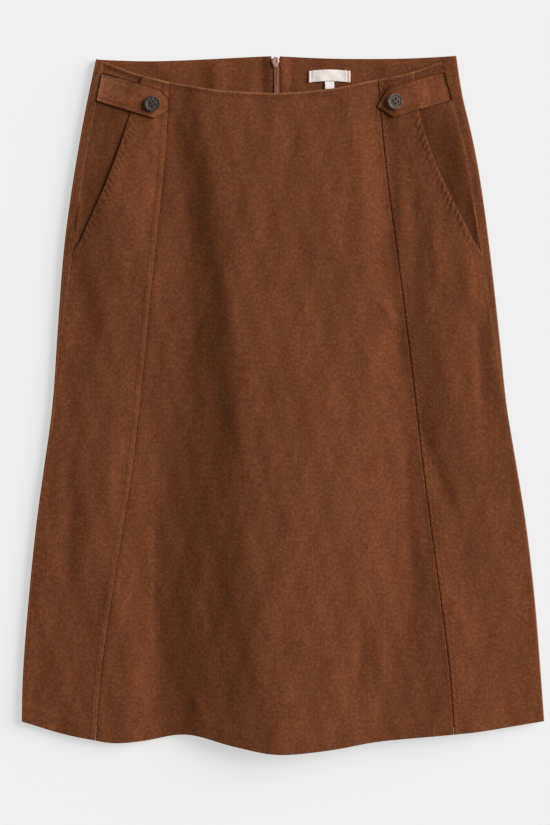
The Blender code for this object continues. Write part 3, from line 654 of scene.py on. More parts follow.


# The hip pieces are darker copies of the needlecord: painted shade where they lie recessed behind the
# mouths, the right one darker.
HIP_PAINTED_SHADE = {"left": 0.97, "right": 0.87}
for side, sign in SIGNS.items():
    hip_cord_painted_shade = corduroy(f"hip_needlecord_{side}", shade=HIP_PAINTED_SHADE[side])
    pocket = wall_copy(f"pocket_back_{side}_cloth", f"pocket_back_{side}")
    borders = refine(pocket, 1, 1, 1)
    points, normals = points_of(pocket)
    at_seam = sign * (borders.points[:, 0] - mouths[side](TOP - borders.points[:, 1])) > 0.5
    seam = borders.points[borders.lengthwise & at_seam]
    close_seam(points, normals, seam)
    x, y, z = points.T
    down = TOP - y
    from_seam = distance_to(points, seam)
    waist = roll_waist(points, normals, x, down, hollow=0.7)
    # Pale at the side seam and along the rolled waist edge: scuffing, and a painted highlight on the roll.
    note(pocket, "scuff_and_highlight", np.minimum(from_seam + SEAM_SCUFF_AND_HIGHLIGHT, waist))
    inside = sign * (outline[side](down) - x)
    x += sign * POCKET_REACH * band(200, 212, 212, 218, down) * (1 - smooth(12, 24, inside))
    x += sign * SLIT_CLOSES * band(150, 190, 215, 222, down) * (1 - smooth(3, 8, from_seam))
    z += SLIT_RISE * band(140, 185, 206, 216, down) * hump(from_seam, 4.0)
    rise = POCKET_RISE[side] * band(40, 70, 170, 200, down)
    z += rise * hump(x - mouths[side](down), 14.0) + crease_lift(x, down)
    move_points(pocket, points)
    finish_cloth(pocket, f"pocket_back_{side}", hip_cord_painted_shade)


# ---- Side fronts ---------------------------------------------------------------------------------
# Each runs from the long front seam to the slanted pocket mouth, and below the mouth to the side seam.
# The front seam and the mouth are topstitched, which draws the cloth into small puckers.

PANEL_SEAMS = [
    Sides(25, -122.9, 103.3), Sides(110, -127.8, 111.2), Sides(230, -140.5, 126.5),
    Sides(340, -151.6, 140.3), Sides(450, -164.9, 153.0), Sides(565, -184.9, 168.0),
    Sides(667, -199.8, 181.0), Sides(740, -206.0, 186.3),
]
HEM = [
    Edge(-282.9, 722), Edge(-228.7, 737.6), Edge(-180, 745.4), Edge(-152, 743), Edge(-107, 735.6),
    Edge(-54, 748), Edge(-3, 757), Edge(49, 752.4), Edge(101, 743.2), Edge(153, 738.3),
    Edge(205, 733.5), Edge(282.9, 721.5),
]
HEM_STEP = 0.45
panel_seams = {side: line_through(PANEL_SEAMS, side) for side in SIGNS}
front_hem = line_through(HEM, "down")

# The seams have crept a little to one side of where they were cut.
SEAM_CREEP = [Sides(25, 0, -1.2), Sides(340, 0.2, -1.2), Sides(450, 1.4, -1.2), Sides(600, 2.8, -1.2),
              Sides(740, 2.8, -1.2)]
seam_creep = {side: line_through(SEAM_CREEP, side) for side in SIGNS}

# Puckers along a stitched seam: their spacing, how far they slant, how wide the band is, and their height.
Puckers = namedtuple("Puckers", "spacing slant middle reach height")
SEAM_PUCKERS = Puckers(11.0, 0.25, 4.0, 6.5, 0.22)
MOUTH_PUCKERS = Puckers(15.0, 0.6, 4.5, 6.0, 0.3)
MOUTH_PULL = {"left": 0.5, "right": 1.0}  # how strongly the stitches gather the cloth into ropes
SEAM_PULL = {"left": 0.12, "right": 0.22}
MOUTH_PRESS = {"left": 0.25, "right": 0.4}  # how thin the mouth's edge is pressed
MOUTH_SLANT = 0.86  # share of the distance along X that is the distance from the slanted mouth
Slit = namedtuple("Slit", "width end")
SLITS = {"left": Slit(2.9, 233), "right": Slit(2.6, 231)}  # below each mouth, closed by drawing its side in

# The seam's turnings lie under the side fronts, and lift them as far as the stitches.
Turning = namedtuple("Turning", "height rises falls_from falls_to")
TURNINGS = {"left": Turning(0.22, 4.0, 4.5, 10.0), "right": Turning(0.5, 1.5, 1.5, 9.0)}
Dip = namedtuple("Dip", "depth width")
CENTRE_DIPS = {"left": Dip(0.3, 2.4), "right": Dip(-0.3, 4.0)}  # the centre front's border at each seam


def puckered(kind, away, along):
    """Height of the puckers at a distance from a seam's line and along it. No two are quite alike."""
    wave = np.sin(
        2 * math.pi * (along + kind.slant * away) / kind.spacing
        + 2.2 * np.sin(along / 31.0) + 1.1 * np.sin(along / 12.7 + 1.0)
    )
    strength = 0.55 + 0.45 * np.sin(along / 47.0 + 0.8) * np.sin(along / 19.0)
    return kind.height * wave * strength * hump(away - kind.middle, kind.reach)


def front_relief(points, normals):
    """Lifts the front's points by its creases, its rolled waist edge and its turned-up hem."""
    x, down = points[:, 0], TOP - points[:, 1]
    points[:, 2] += crease_lift(x, down)
    roll_waist(points, normals, x, down, hollow=0.4)
    hem = HEM_STEP * (1 - smooth(HEM_DEPTH - 3.0, HEM_DEPTH + 2.0, front_hem(x) - down))
    points[:, 2] += upper_face(normals) * hem


for side, sign in SIGNS.items():
    panel = wall_copy(f"side_front_{side}_cloth", f"side_front_{side}")
    borders = refine(panel, 1, 2, 1)
    points, normals = points_of(panel)
    x, down = points[:, 0].copy(), TOP - points[:, 1]
    from_seam = sign * (x - panel_seams[side](down))
    from_mouth = np.where(down < MOUTH_END, MOUTH_SLANT * sign * (mouths[side](down) - x), FAR)
    border_down = TOP - borders.points[:, 1]
    at_mouth = np.abs(borders.points[:, 0] - mouths[side](border_down)) < 2.0
    joined = borders.lengthwise & ~(at_mouth & (border_down < MOUTH_END - 2.0))
    at_side = sign * (borders.points[:, 0] - mouths[side](np.minimum(border_down, MOUTH_END))) > -2.0
    close_seam(points, normals, borders.points[joined])
    open_mouth = smooth(0, 25, MOUTH_END - down) * smooth(58, 75, down)
    waist = np.abs(down - front_waist(x))
    from_side = distance_to(points, borders.points[joined & at_side])
    from_fold = square_fold(points, side, sign)
    # Pale along the waist roll, side seam and side fold: scuffing, and a painted highlight on edges turned
    # from the light.
    scuff_and_highlight = np.minimum.reduce([waist, from_side + SEAM_SCUFF_AND_HIGHLIGHT, from_fold + FOLD_SCUFF_AND_HIGHLIGHT[side]])
    # On the left the mouth's shaded edge is painted pale too, lightening its shadow.
    if side == "left":
        scuff_and_highlight = np.minimum(scuff_and_highlight, np.abs(from_mouth) + 1.6)
    note(panel, "scuff_and_highlight", scuff_and_highlight)
    note(panel, "sewn", np.minimum(from_seam, from_mouth))
    pull = np.maximum(
        MOUTH_PULL[side] * hump(from_mouth - 4.0, 3.5) * open_mouth,
        SEAM_PULL[side] * hump(from_seam - 4.0, 3.5),
    )
    note(panel, "pulled", pull)
    outer = upper_face(normals)
    slit = SLITS[side]
    wedge = smooth(190, MOUTH_END, down) * np.clip((slit.end - down) / (slit.end - MOUTH_END), 0, 1)
    points[:, 0] += sign * slit.width * wedge * (1 - smooth(6, 14, from_side))
    front_relief(points, normals)
    points[:, 2] += puckered(SEAM_PUCKERS, from_seam, down)
    turning = TURNINGS[side]
    ends = 1 - smooth(turning.falls_from, turning.falls_to, from_seam)
    points[:, 2] += outer * turning.height * ends * smooth(0.0, turning.rises, from_seam)
    points[:, 2] += outer * open_mouth * puckered(MOUTH_PUCKERS, from_mouth, down * 1.15)
    points[:, 2] -= outer * MOUTH_PRESS[side] * hump(from_mouth, 1.8)
    points[:, 0] += seam_creep[side](down) * hump(from_seam, 12.0)
    move_points(panel, points)
    finish_cloth(
        panel, f"side_front_{side}", body_cord,
    )


# ---- Centre front --------------------------------------------------------------------------------
# The panel between the two long seams. Slack cloth stands up in one large fold down its middle.

centre = wall_copy("front_centre_cloth", "front_centre")
borders = refine(centre, 1, 1, 1)
points, normals = points_of(centre)
x, down = points[:, 0].copy(), TOP - points[:, 1]
close_seam(points, normals, borders.points[borders.lengthwise])
# Pale along the rolled waist edge: scuffing, and a painted highlight on the roll.
note(centre, "scuff_and_highlight", np.abs(down - front_waist(x)))
front_relief(points, normals)
for side, sign in SIGNS.items():
    from_seam = sign * (panel_seams[side](down) - x)
    points[:, 2] += 0.7 * puckered(SEAM_PUCKERS, from_seam + 3.0, down + 4.0)
    dip = CENTRE_DIPS[side]
    points[:, 2] -= dip.depth * upper_face(normals) * hump(from_seam, dip.width)
    points[:, 0] += seam_creep[side](down) * hump(from_seam, 12.0)
move_points(centre, points)
finish_cloth(
    centre, "front_centre", body_cord
)


# ---- Topstitching --------------------------------------------------------------------------------
# Polyester thread in the cloth's own colour, one row beside each front seam and each pocket mouth.

STITCH_PITCH = 3.3
STITCH_LENGTH = 2.7
STITCH_WIDTH = 0.6
THREAD_BROWN = "#6e3f27"
STITCH_OFFSET = 6.2
STITCH_PROUD = 0.05

Cloud = namedtuple("Cloud", "size detail distortion", defaults=[0.0])


def clouded(name, stops, cloud, relief=None, grain=None, **inputs):
    """A material whose colour varies in soft clouds. Its relief follows them, or else a finer grain."""
    material, tree, shader = plain_material(name, **inputs)
    place = add_node(tree, "ShaderNodeTexCoord").outputs["Object"]

    def noise(kind):
        return add_node(
            tree, "ShaderNodeTexNoise", [("Vector", place)], Scale=1 / (kind.size * MM),
            Detail=kind.detail, Distortion=kind.distortion,
        ).outputs["Fac"]

    clouds = noise(cloud)
    tree.links.new(shader.inputs["Base Color"], toned(tree, clouds, stops))
    if relief:
        add_relief(tree, shader, noise(grain) if grain else clouds, *relief)
    return material


def spun_thread(name, colour):
    """Spun polyester thread: slightly shiny, with a fine twist along it."""
    return clouded(
        name, [(0.3, linear(colour, 0.6)), (0.65, linear(colour))], Cloud(0.5, 1.0), (0.5, 0.2),
        Roughness=0.75, Specular_IOR_Level=0.2,
    )


def offset_line(points, distance):
    """A line beside another, to its left where the distance is above zero."""
    run = np.gradient(points, axis=0)
    run /= np.linalg.norm(run, axis=1)[:, None]
    return points + distance * np.stack([-run[:, 1], run[:, 0]], 1)


def spaced(points, pitch):
    """Points at an even spacing along a line."""
    steps = np.concatenate([[0], np.cumsum(np.linalg.norm(np.diff(points, axis=0), axis=1))])
    at = np.arange(pitch / 2, steps[-1], pitch)
    return np.stack([np.interp(at, steps, points[:, axis]) for axis in (0, 1)], 1)


def tree_of(piece):
    bm = bmesh.new()
    bm.from_mesh(piece.data)
    made = BVHTree.FromBMesh(bm)
    bm.free()
    return made


def surface_at(trees, x, y):
    """The point and normal of the uppermost of several surfaces at x, y in mm."""
    hits = [tree.ray_cast(Vector((x * MM, y * MM, 0.1)), Vector((0, 0, -1))) for tree in trees]
    hits = [hit for hit in hits if hit[0] is not None]
    return max(hits, key=lambda hit: hit[0].z)[:2] if hits else (None, None)


def solid_from(add, stretch=None, **settings):
    """A new object from one of Blender's operators, with its place, turn and size applied to its mesh."""
    bpy.ops.object.select_all(action="DESELECT")
    add(**settings)
    if stretch:
        bpy.ops.transform.resize(value=stretch)
    bpy.ops.object.transform_apply(location=True, rotation=True, scale=True)
    return bpy.context.object


def small_ball(segments, size):
    """The points and faces of a ball, stretched to a size."""
    ball = solid_from(
        bpy.ops.mesh.primitive_uv_sphere_add, size, segments=segments, ring_count=5, radius=0.5
    )
    points = np.array([v.co for v in ball.data.vertices])
    faces = [tuple(p.vertices) for p in ball.data.polygons]
    bpy.data.objects.remove(ball)
    return points, faces


def object_of_copies(name, copies, faces):
    """One object from the points, in mm, of many copies of a shape, and the faces of the shape."""
    count = len(copies[0])
    all_faces = [tuple(v + i * count for v in face) for i in range(len(copies)) for face in faces]
    mesh = bpy.data.meshes.new(name)
    mesh.from_pydata((np.concatenate(copies) * MM).tolist(), [], all_faces)
    piece = bpy.data.objects.new(name, mesh)
    bpy.context.scene.collection.objects.link(piece)
    only(piece)
    return piece


def stitch_rows(name, rows, trees, under, material, length=STITCH_LENGTH, width=STITCH_WIDTH):
    """Lays short round stitches along rows of points, on the uppermost surface, where nothing covers it."""
    ball, faces = small_ball(6, (width, width, length))
    stitch = ball[:, [0, 2, 1]] * (-1, 1, 1)
    copies = []
    for row in rows:
        for (x, y), (run_x, run_y) in zip(row, np.gradient(row, axis=0)):
            point, normal = surface_at(trees, x, y)
            if point is None or surface_at(under, x, y)[0] is not None:
                continue
            aside = Vector((run_x, run_y, 0)).normalized().cross(normal).normalized()
            turn = np.array(Matrix((aside, normal.cross(aside), normal)).transposed())
            copies.append(stitch @ turn.T + np.array(point) / MM + np.array(normal) * STITCH_PROUD)
    piece = object_of_copies(name, copies, faces)
    piece.data.shade_smooth()
    bpy.ops.object.mode_set(mode="EDIT")
    bpy.ops.mesh.select_all(action="SELECT")
    bpy.ops.mesh.normals_make_consistent(inside=False)
    bpy.ops.object.mode_set(mode="OBJECT")
    piece.data.materials.append(material)
    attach(piece, "skirt")


brown_thread = spun_thread("brown_thread", THREAD_BROWN)
tabs_above = [tree_of(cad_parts[f"tab_{side}"]) for side in SIGNS]
for side, sign in SIGNS.items():
    levels = np.linspace(26, 742, 240)
    seam = np.stack([panel_seams[side](levels) + seam_creep[side](levels), TOP - levels], 1)
    seam = seam[(levels > front_waist(seam[:, 0]) + 3) & (levels < front_hem(seam[:, 0]) - 2)]
    levels = np.linspace(26, MOUTH_END - 4, 90)
    mouth = np.stack([mouths[side](levels), TOP - levels], 1)
    rows = [
        spaced(offset_line(seam, sign * STITCH_OFFSET), STITCH_PITCH),
        spaced(offset_line(mouth, -sign * STITCH_OFFSET), STITCH_PITCH),
    ]
    cloth = tree_of(bpy.data.objects[f"side_front_{side}_cloth"])
    stitch_rows(f"front_stitching_{side}", rows, [cloth], tabs_above, brown_thread)


# ---- Tabs ----------------------------------------------------------------------------------------
# Two layers of needlecord each, turned, pressed and stitched round the edge. The ribs run along the tab.

TAB_STITCH = 4.2
TAB_SINK = 0.9  # how much flatter than its solid a pressed tab lies, and the button on it
TAB_UNDER = 0.15  # of which this much at its under face
TAB_THINS = {"left": 1.3, "right": 0.7}  # and how much more at its seamed end
TAB_REACH = {"left": 0.3, "right": 0.4}  # how far its seamed end is drawn into the seam
TAB_SKEW = {"left": 0.1, "right": 0.0}  # and how far it is skewed to follow the seam
# The tabs are a lighter copy of the needlecord, painted light that makes them paler than the cloth they lie
# on.
TAB_PAINTED_LIGHT = 1.23
Tab = namedtuple("Tab", "side sign x down tilt outline")  # middle of the end in the side seam
TABS = [
    Tab("left", -1, -198.2, 34.0, 17.0, [(0, -15.6), (65, -15.2), (76, -8.6), (79, 1.7), (66.5, 15.7),
                                         (0, 15.6)]),
    Tab("right", 1, 178.6, 33.3, 16.4, [(0, -15.5), (63, -15.6), (77, -2.8), (79, 0), (65.5, 15.8),
                                        (0, 15.5)]),
]


def on_tab(tab, along, across):
    """X and Y of a point of a tab, along it from the seam and across it from its middle."""
    turn = math.radians(tab.tilt)
    x = tab.x - tab.sign * (along * math.cos(turn) - across * math.sin(turn))
    return x, TOP - (tab.down + along * math.sin(turn) + across * math.cos(turn))


for tab in TABS:
    strap = wall_copy(f"tab_{tab.side}_cloth", f"tab_{tab.side}")
    subdivide(strap, 2, "SIMPLE")
    borders = refine(strap, 0, 0, 1, rim=0.8)
    points, normals = points_of(strap)
    x, y, z = points.T
    away = distance_to(points, borders.points)
    turn = math.radians(tab.tilt)
    inward, below = tab.sign * (tab.x - x), TOP - y - tab.down
    along = inward * math.cos(turn) + below * math.sin(turn)
    across = below * math.cos(turn) - inward * math.sin(turn)
    note(strap, "sewn", away)
    # The left tab is painted paler towards its seamed end, where its surface slopes away from the light.
    if tab.side == "left":
        note(strap, "scuff_and_highlight", 0.8 + np.maximum(along, 0) / 14.0)
    z += crease_lift(x, TOP - y)
    outer = upper_face(normals)
    z += outer * 0.35 * hump(away - 8.0, 5.0)
    sink = TAB_SINK - TAB_UNDER + TAB_THINS[tab.side] * (1 - smooth(0, 25, along))
    z -= TAB_UNDER + outer * sink
    skewed = TAB_REACH[tab.side] - TAB_SKEW[tab.side] * across
    x += tab.sign * skewed * (1 - smooth(0, 12, along))
    move_points(strap, points)
    ribs_along = math.radians(90 + tab.sign * tab.tilt)
    # A lighter copy of the needlecord: painted light on the tab.
    cord = corduroy(f"tab_needlecord_{tab.side}", ribs_along, shade=TAB_PAINTED_LIGHT, stitch_at=TAB_STITCH)
    finish_cloth(strap, f"tab_{tab.side}", cord)
    corners = np.array(tab.outline, float)
    inward = np.array([25.0, 0.0]) - corners
    corners[1:-1] += inward[1:-1] * (TAB_STITCH / 14.0) * [[0.45, 1.0]]
    corners[[0, -1], 1] *= 1 - TAB_STITCH / 15.5
    line = np.array([on_tab(tab, *corner) for corner in corners])
    row = spaced(line, STITCH_PITCH)
    stitch_rows(f"tab_stitching_{tab.side}", [row], [tree_of(strap)], [], brown_thread)


# ---- Buttons -------------------------------------------------------------------------------------
# Four-hole buttons of polyester resin that imitates horn, turned with a raised rim and a dished middle.

BUTTON_RADIUS = 8.8
BUTTON_THICK = 2.7
RIM_WIDTH = 2.5
GROOVE_DEPTH = 0.6
MIDDLE_RISE = 0.3
HOLE_RADIUS = 1.15
HOLE_OUT = 2.6  # from the middle, on the diagonals
HOLE_TURN = 22
BUTTON_SLIPS = {"left": 1.7, "right": 0.0}  # how far each hangs below the middle of its place


def horn_resin(name, dark, light):
    """Cast polyester resin, clouded like horn. It is half polished, so its rim takes a soft highlight."""
    return clouded(
        name, [(0.35, linear(dark)), (0.7, linear(light))], Cloud(6.0, 4.0, 1.5), (0.25, 0.1),
        grain=Cloud(0.8, 2.0), Roughness=0.5, IOR=1.45,
    )


def select_top(piece):
    """In edit mode, selects the one face that is highest and faces up."""
    bm = bmesh.from_edit_mesh(piece.data)
    bpy.ops.mesh.select_all(action="DESELECT")
    top = max(bm.faces, key=lambda face: (face.calc_center_median().z, face.normal.z))
    top.select_set(True)
    bm.select_flush_mode()
    bmesh.update_edit_mesh(piece.data)


def button_blank():
    """A button at the origin, its underside on Z = 0: a turned disc with a rim, a dish and four holes."""
    button = solid_from(
        bpy.ops.mesh.primitive_cylinder_add, vertices=64, radius=BUTTON_RADIUS * MM,
        depth=BUTTON_THICK * MM, location=(0, 0, BUTTON_THICK / 2 * MM),
    )
    bpy.ops.object.mode_set(mode="EDIT")
    select_top(button)
    bpy.ops.mesh.inset(thickness=RIM_WIDTH * MM)
    bpy.ops.mesh.inset(thickness=0.6 * MM, depth=-GROOVE_DEPTH * MM)
    bpy.ops.mesh.inset(thickness=0.4 * MM)
    bpy.ops.mesh.inset(thickness=0.7 * MM, depth=MIDDLE_RISE * MM)
    bpy.ops.object.mode_set(mode="OBJECT")
    for vertex in button.data.vertices:
        if vertex.co.z < 0.1 * MM:
            vertex.co.x *= 0.75
            vertex.co.y *= 0.75
    for i in range(4):
        angle = math.radians(45 + 90 * i + HOLE_TURN)
        drill = solid_from(
            bpy.ops.mesh.primitive_cylinder_add, vertices=20, radius=HOLE_RADIUS * MM,
            depth=4 * BUTTON_THICK * MM,
            location=(HOLE_OUT * math.cos(angle) * MM, HOLE_OUT * math.sin(angle) * MM, 0),
        )
        apply_modifier(button, "BOOLEAN", operation="DIFFERENCE", object=drill)
        bpy.data.objects.remove(drill)
    round_edges(button, 0.28, 3, math.radians(25))
    return button


def hard_piece(piece, name, node, material, body="skirt", angle=40):
    """Finishes a small hard piece that stands for a node. Edges sharper than the angle stay sharp."""
    piece.name = name
    piece.data.materials.append(material)
    only(piece)
    bpy.ops.object.shade_smooth_by_angle(angle=math.radians(angle))
    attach(piece, body)
    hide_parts(node)


# A lit and a darker copy of one resin: the right button is painted paler for the light its tilt catches,
# and the left one darker.
RESINS = {
    "left": horn_resin("dark_horn_resin", "#231914", "#41332a"),
    "right": horn_resin("pale_horn_resin", "#483b33", "#7d6b5d"),
}
sewing_thread = spun_thread("button_thread", "#7a6252")
loose_thread = spun_thread("loose_thread", "#b3a27a")
for tab in TABS:
    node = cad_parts[f"button_{tab.side}"]
    solid = np.array([v.co for v in node.data.vertices])
    low, high = (np.array(corner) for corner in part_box(f"button_{tab.side}"))
    middle = (low + high) / 2
    axis = np.linalg.svd(np.unique(solid.round(6), axis=0) - middle, full_matrices=False)[2][2]
    axis *= np.sign(axis[2])
    foot = (solid @ axis).min()
    middle = middle + axis * (foot - TAB_SINK * MM - middle @ axis)
    middle[1] -= BUTTON_SLIPS[tab.side] * MM
    button = button_blank()
    button.data.transform(
        Matrix.Translation(Vector(middle)) @ Vector(axis).to_track_quat("Z", "Y").to_matrix().to_4x4()
    )
    hard_piece(
        button, f"button_{tab.side}_turned", f"button_{tab.side}", RESINS[tab.side], angle=35
    )
    at = middle[:2] / MM
    turn = math.radians(90 + HOLE_TURN)
    ahead = np.array([math.cos(turn), math.sin(turn)])
    aside = np.array([-ahead[1], ahead[0]])
    reach = HOLE_OUT * math.sqrt(0.5)
    rows = [at + s * reach * aside + np.outer((-0.3, 0.3), ahead) for s in (1, -1)]
    stitch_rows(
        f"button_thread_{tab.side}", rows, [tree_of(button)], [], sewing_thread,
        length=2 * reach + 0.4, width=0.5,
    )
    if tab.side == "left":
        end = np.array([at + (0.4 + 0.25 * i, 1.8 + 1.5 * i) for i in range(5)])
        stitch_rows(
            "button_thread_end", [end], [tree_of(button), tree_of(bpy.data.objects["tab_left_cloth"])], [],
            loose_thread, length=2.3, width=0.45,
        )


# ---- Zip -----------------------------------------------------------------------------------------
# A closed coil zip at the centre back, seen from inside: two woven tapes, the coil, and the slider's
# back. The slider and its pull are pressed from zinc and painted to go with the cloth.

CHAIN_START = 13.3  # down, below the slider
TAPE_START = 8.6  # under its tail
CHAIN_END = 203.0
COIL_PITCH = 1.3
RISE_DOWN = 34.0
RISE_END = 52.0
BACK_RISE = 1.7
CHAIN_ASIDE = 0.5  # how far the chain lies to the left of the centre back


def tape_base(down):
    """Height of the zip's underside, which follows the back over the pull that lies beneath it."""
    return 1.5 + BACK_RISE * (1 - smooth(RISE_DOWN, RISE_END, down))


def woven_tape():
    """Woven polyester tape in a fine herringbone, with a slight shine."""
    material, tree, shader = plain_material("woven_tape", Roughness=0.7, Sheen_Weight=0.15)
    place = add_node(tree, "ShaderNodeTexCoord").outputs["Object"]
    threads = [
        add_node(
            tree, "ShaderNodeTexWave", [("Vector", place)], bands_direction=direction,
            Scale=wave_scale(period * MM), Distortion=0.5,
        ).outputs["Fac"]
        for direction, period in (("X", 0.8), ("Y", 0.9))
    ]
    weave = weighted_sum(tree, [(thread, 0.5) for thread in threads])
    colour = toned(tree, weave, [(0.2, linear("#633522")), (0.8, linear("#844d34"))])
    tree.links.new(shader.inputs["Base Color"], colour)
    add_relief(tree, shader, weave, 0.5, 0.2)
    return material


# The two tapes: a long grid each, thickened, that follows the rise of the back.
tape_cloth = woven_tape()
for side, sign in SIGNS.items():
    tape = solid_from(
        bpy.ops.mesh.primitive_grid_add, (3.5 * MM, (CHAIN_END - TAPE_START) * MM, 1),
        x_subdivisions=3, y_subdivisions=60, size=1,
        location=((CENTRE_BACK + sign * 2.0) * MM, (TOP - (TAPE_START + CHAIN_END) / 2) * MM, 0),
    )
    tape.name = f"zip_tape_{side}"
    points, _ = points_of(tape)
    down = TOP - points[:, 1]
    points[:, 2] = tape_base(down) + 0.1 - 0.3 * (1 - smooth(10, 14, down))
    move_points(tape, points)
    apply_modifier(tape, "SOLIDIFY", thickness=0.6 * MM, offset=1.0)
    tape.data.materials.append(tape_cloth)
    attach(tape, "skirt")
    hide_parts("zip_chain")

# The coil: nylon monofilament, dyed through and a little glossy. One turn, a squat arch across the middle,
# is copied down both sides.
coil_nylon = clouded(
    "coil_nylon", [(0.3, linear("#844d34")), (0.7, linear("#a2684c"))], Cloud(2.0, 2.0),
    Roughness=0.65, Specular_IOR_Level=0.25,
)
turn_points, turn_faces = small_ball(8, (3.0, 1.25, 1.9))
copies = []
for i in range(int((CHAIN_END - CHAIN_START) / COIL_PITCH)):
    for sign in SIGNS.values():
        down = CHAIN_START + 0.6 + COIL_PITCH * (i + 0.25 * (1 + sign))
        middle = (CENTRE_BACK - CHAIN_ASIDE + sign * 1.15, TOP - down, float(tape_base(down)) + 1.5)
        copies.append(turn_points + middle)
coil = object_of_copies("zip_coil", copies, turn_faces)
hard_piece(coil, "zip_coil", "zip_chain", coil_nylon)

# The slider: a block shaped to a rounded shield, hollowed on its face, with a bar across its nose. It is
# die-cast zinc under a thin rosy-brown enamel, glossy, with tiny dents along its edges.
zinc = clouded(
    "painted_zinc", [(0.3, linear("#9c7062")), (0.7, linear("#bb9386"))], Cloud(1.2, 3.0), (0.2, 0.1),
    Roughness=0.38, Metallic=0.15, Coat_Weight=0.3, Coat_Roughness=0.2,
)
SLIDER_TOP_Y = 376.9
SLIDER_LENGTH = 11.4
SLIDER_LOW = 3.4
SLIDER_THICK = 3.0
SliderRow = namedtuple("SliderRow", "down half")
SLIDER_ROWS = [
    SliderRow(0, 0.9), SliderRow(0.6, 1.5), SliderRow(1.4, 3.1), SliderRow(3.0, 4.0), SliderRow(5.0, 4.4),
    SliderRow(6.6, 4.0), SliderRow(8.6, 3.0), SliderRow(10.2, 2.6), SliderRow(11.4, 2.6),
]
SLIDER_LEAN = -0.9  # how far it lies to one side of the centre back
slider_half = line_through(SLIDER_ROWS, "half")


def cut_cube(cuts):
    """A finely cut cube, and its points, which lie within half a unit of its middle."""
    piece = solid_from(bpy.ops.mesh.primitive_cube_add, size=1)
    bpy.ops.object.mode_set(mode="EDIT")
    bpy.ops.mesh.select_all(action="SELECT")
    bpy.ops.mesh.subdivide(number_cuts=cuts)
    bpy.ops.object.mode_set(mode="OBJECT")
    return piece, points_of(piece)[0] * MM


slider, cube = cut_cube(11)
down = (0.5 - cube[:, 1]) * SLIDER_LENGTH
half = slider_half(down)
shaped = np.empty_like(cube)
shaped[:, 0] = CENTRE_BACK + SLIDER_LEAN + cube[:, 0] * 2 * half
shaped[:, 1] = SLIDER_TOP_Y - down
crown = 1 - 0.30 * (2 * np.abs(cube[:, 0])) ** 4 - 0.25 * (2 * np.abs(cube[:, 1])) ** 6
hollow = 0.45 * np.exp(-((cube[:, 0] / 0.26) ** 4)) * band(1.2, 2.2, 7.4, 8.2, down)
face_height = np.where(cube[:, 2] > 0.4, crown * SLIDER_THICK - hollow, (cube[:, 2] + 0.5) * SLIDER_THICK)
shaped[:, 2] = SLIDER_LOW + np.clip(face_height, 0, SLIDER_THICK)
move_points(slider, shaped)
round_edges(slider, 0.25, angle=math.radians(50))
subdivide(slider, 1)
hard_piece(slider, "slider_body", "zip_slider", zinc)

# The lugs and the pin under the slider, which carry the pull.
HINGE = Vector((CENTRE_BACK, TOP - 7.2, 1.65)) * MM
for side, sign in SIGNS.items():
    lug = solid_from(
        bpy.ops.mesh.primitive_cube_add, (1.0 * MM, 2.4 * MM, 3.4 * MM), size=1,
        location=HINGE + Vector((sign * 2.55, 0, 0.95)) * MM,
    )
    round_edges(lug, 0.3, 3)
    hard_piece(lug, f"slider_lug_{side}", "zip_slider", zinc)
pin = solid_from(
    bpy.ops.mesh.primitive_cylinder_add, vertices=24, radius=0.5 * MM, depth=5.4 * MM, location=HINGE,
    rotation=(0, math.pi / 2, 0),
)
round_edges(pin, 0.15)
hard_piece(pin, "slider_pin", "zip_slider", zinc)

# The pull: an eye round the pin, and a tapered blade that hangs from it, flat under the back.
PULL_LENGTH = 25.0
PULL_START = 8.4  # down, where the blade leaves the eye
PULL_END = 7.2 + PULL_LENGTH
eye = solid_from(
    bpy.ops.mesh.primitive_torus_add, major_segments=32, minor_segments=12, major_radius=1.08 * MM,
    minor_radius=0.32 * MM, location=HINGE, rotation=(0, math.pi / 2, 0),
)
points, _ = points_of(eye)
points[:, 0] = CENTRE_BACK + (points[:, 0] - CENTRE_BACK) * 4.4
move_points(eye, points)
blade, cube = cut_cube(9)
down = PULL_START + (0.5 - cube[:, 1]) * (PULL_END - PULL_START)
half = 1.45 + 1.1 * smooth(PULL_START, PULL_START + 5.0, down)
half = half * np.sqrt(np.clip(1 - np.clip((down - PULL_END + 2.6) / 2.6, 0, 0.985) ** 2, 0.02, 1))
shaped = np.stack([CENTRE_BACK + cube[:, 0] * 2 * half, TOP - down, 0.8 + cube[:, 2]], axis=1)
move_points(blade, shaped)
round_edges(blade, 0.22, angle=math.radians(50))
only(blade)
eye.select_set(True)
bpy.ops.object.join()
hard_piece(blade, "pull", "zip_pull", zinc, body="zip_pull")


# ---- Label ---------------------------------------------------------------------------------------
# A woven satin label with folded ends, caught at both ends to the facing, and a small tab under it.
# Both are left bare.

LABEL_LEFT = 27.9
LABEL_RIGHT = 72.9
LABEL_TOP = TOP - 17.2


def satin_weave():
    """Woven polyester satin: cream, with fine threads across it and a soft shine."""
    material, tree, shader = plain_material("satin_weave", Roughness=0.5, Sheen_Weight=0.3)
    place = add_node(tree, "ShaderNodeTexCoord").outputs["Object"]
    weft = add_node(
        tree, "ShaderNodeTexWave", [("Vector", place)], bands_direction="Y",
        Scale=wave_scale(0.9 * MM), Distortion=0.8, Detail=2.0,
    ).outputs["Fac"]
    slub = add_node(
        tree, "ShaderNodeTexNoise", [("Vector", place)], Scale=1 / (1.6 * MM), Detail=3.0
    ).outputs["Fac"]
    edge = add_node(tree, "ShaderNodeAttribute", attribute_name="folded").outputs["Fac"]
    weave = weighted_sum(tree, [(weft, 0.35), (slub, 0.65)])
    cream = toned(tree, weave, [(0.25, linear("#d9c9bf")), (0.65, linear("#f4ece6"))])
    tree.links.new(shader.inputs["Base Color"], mixed(tree, edge, cream, linear("#e3bfb0")))
    add_relief(tree, shader, weave, 0.5, 0.25)
    return material


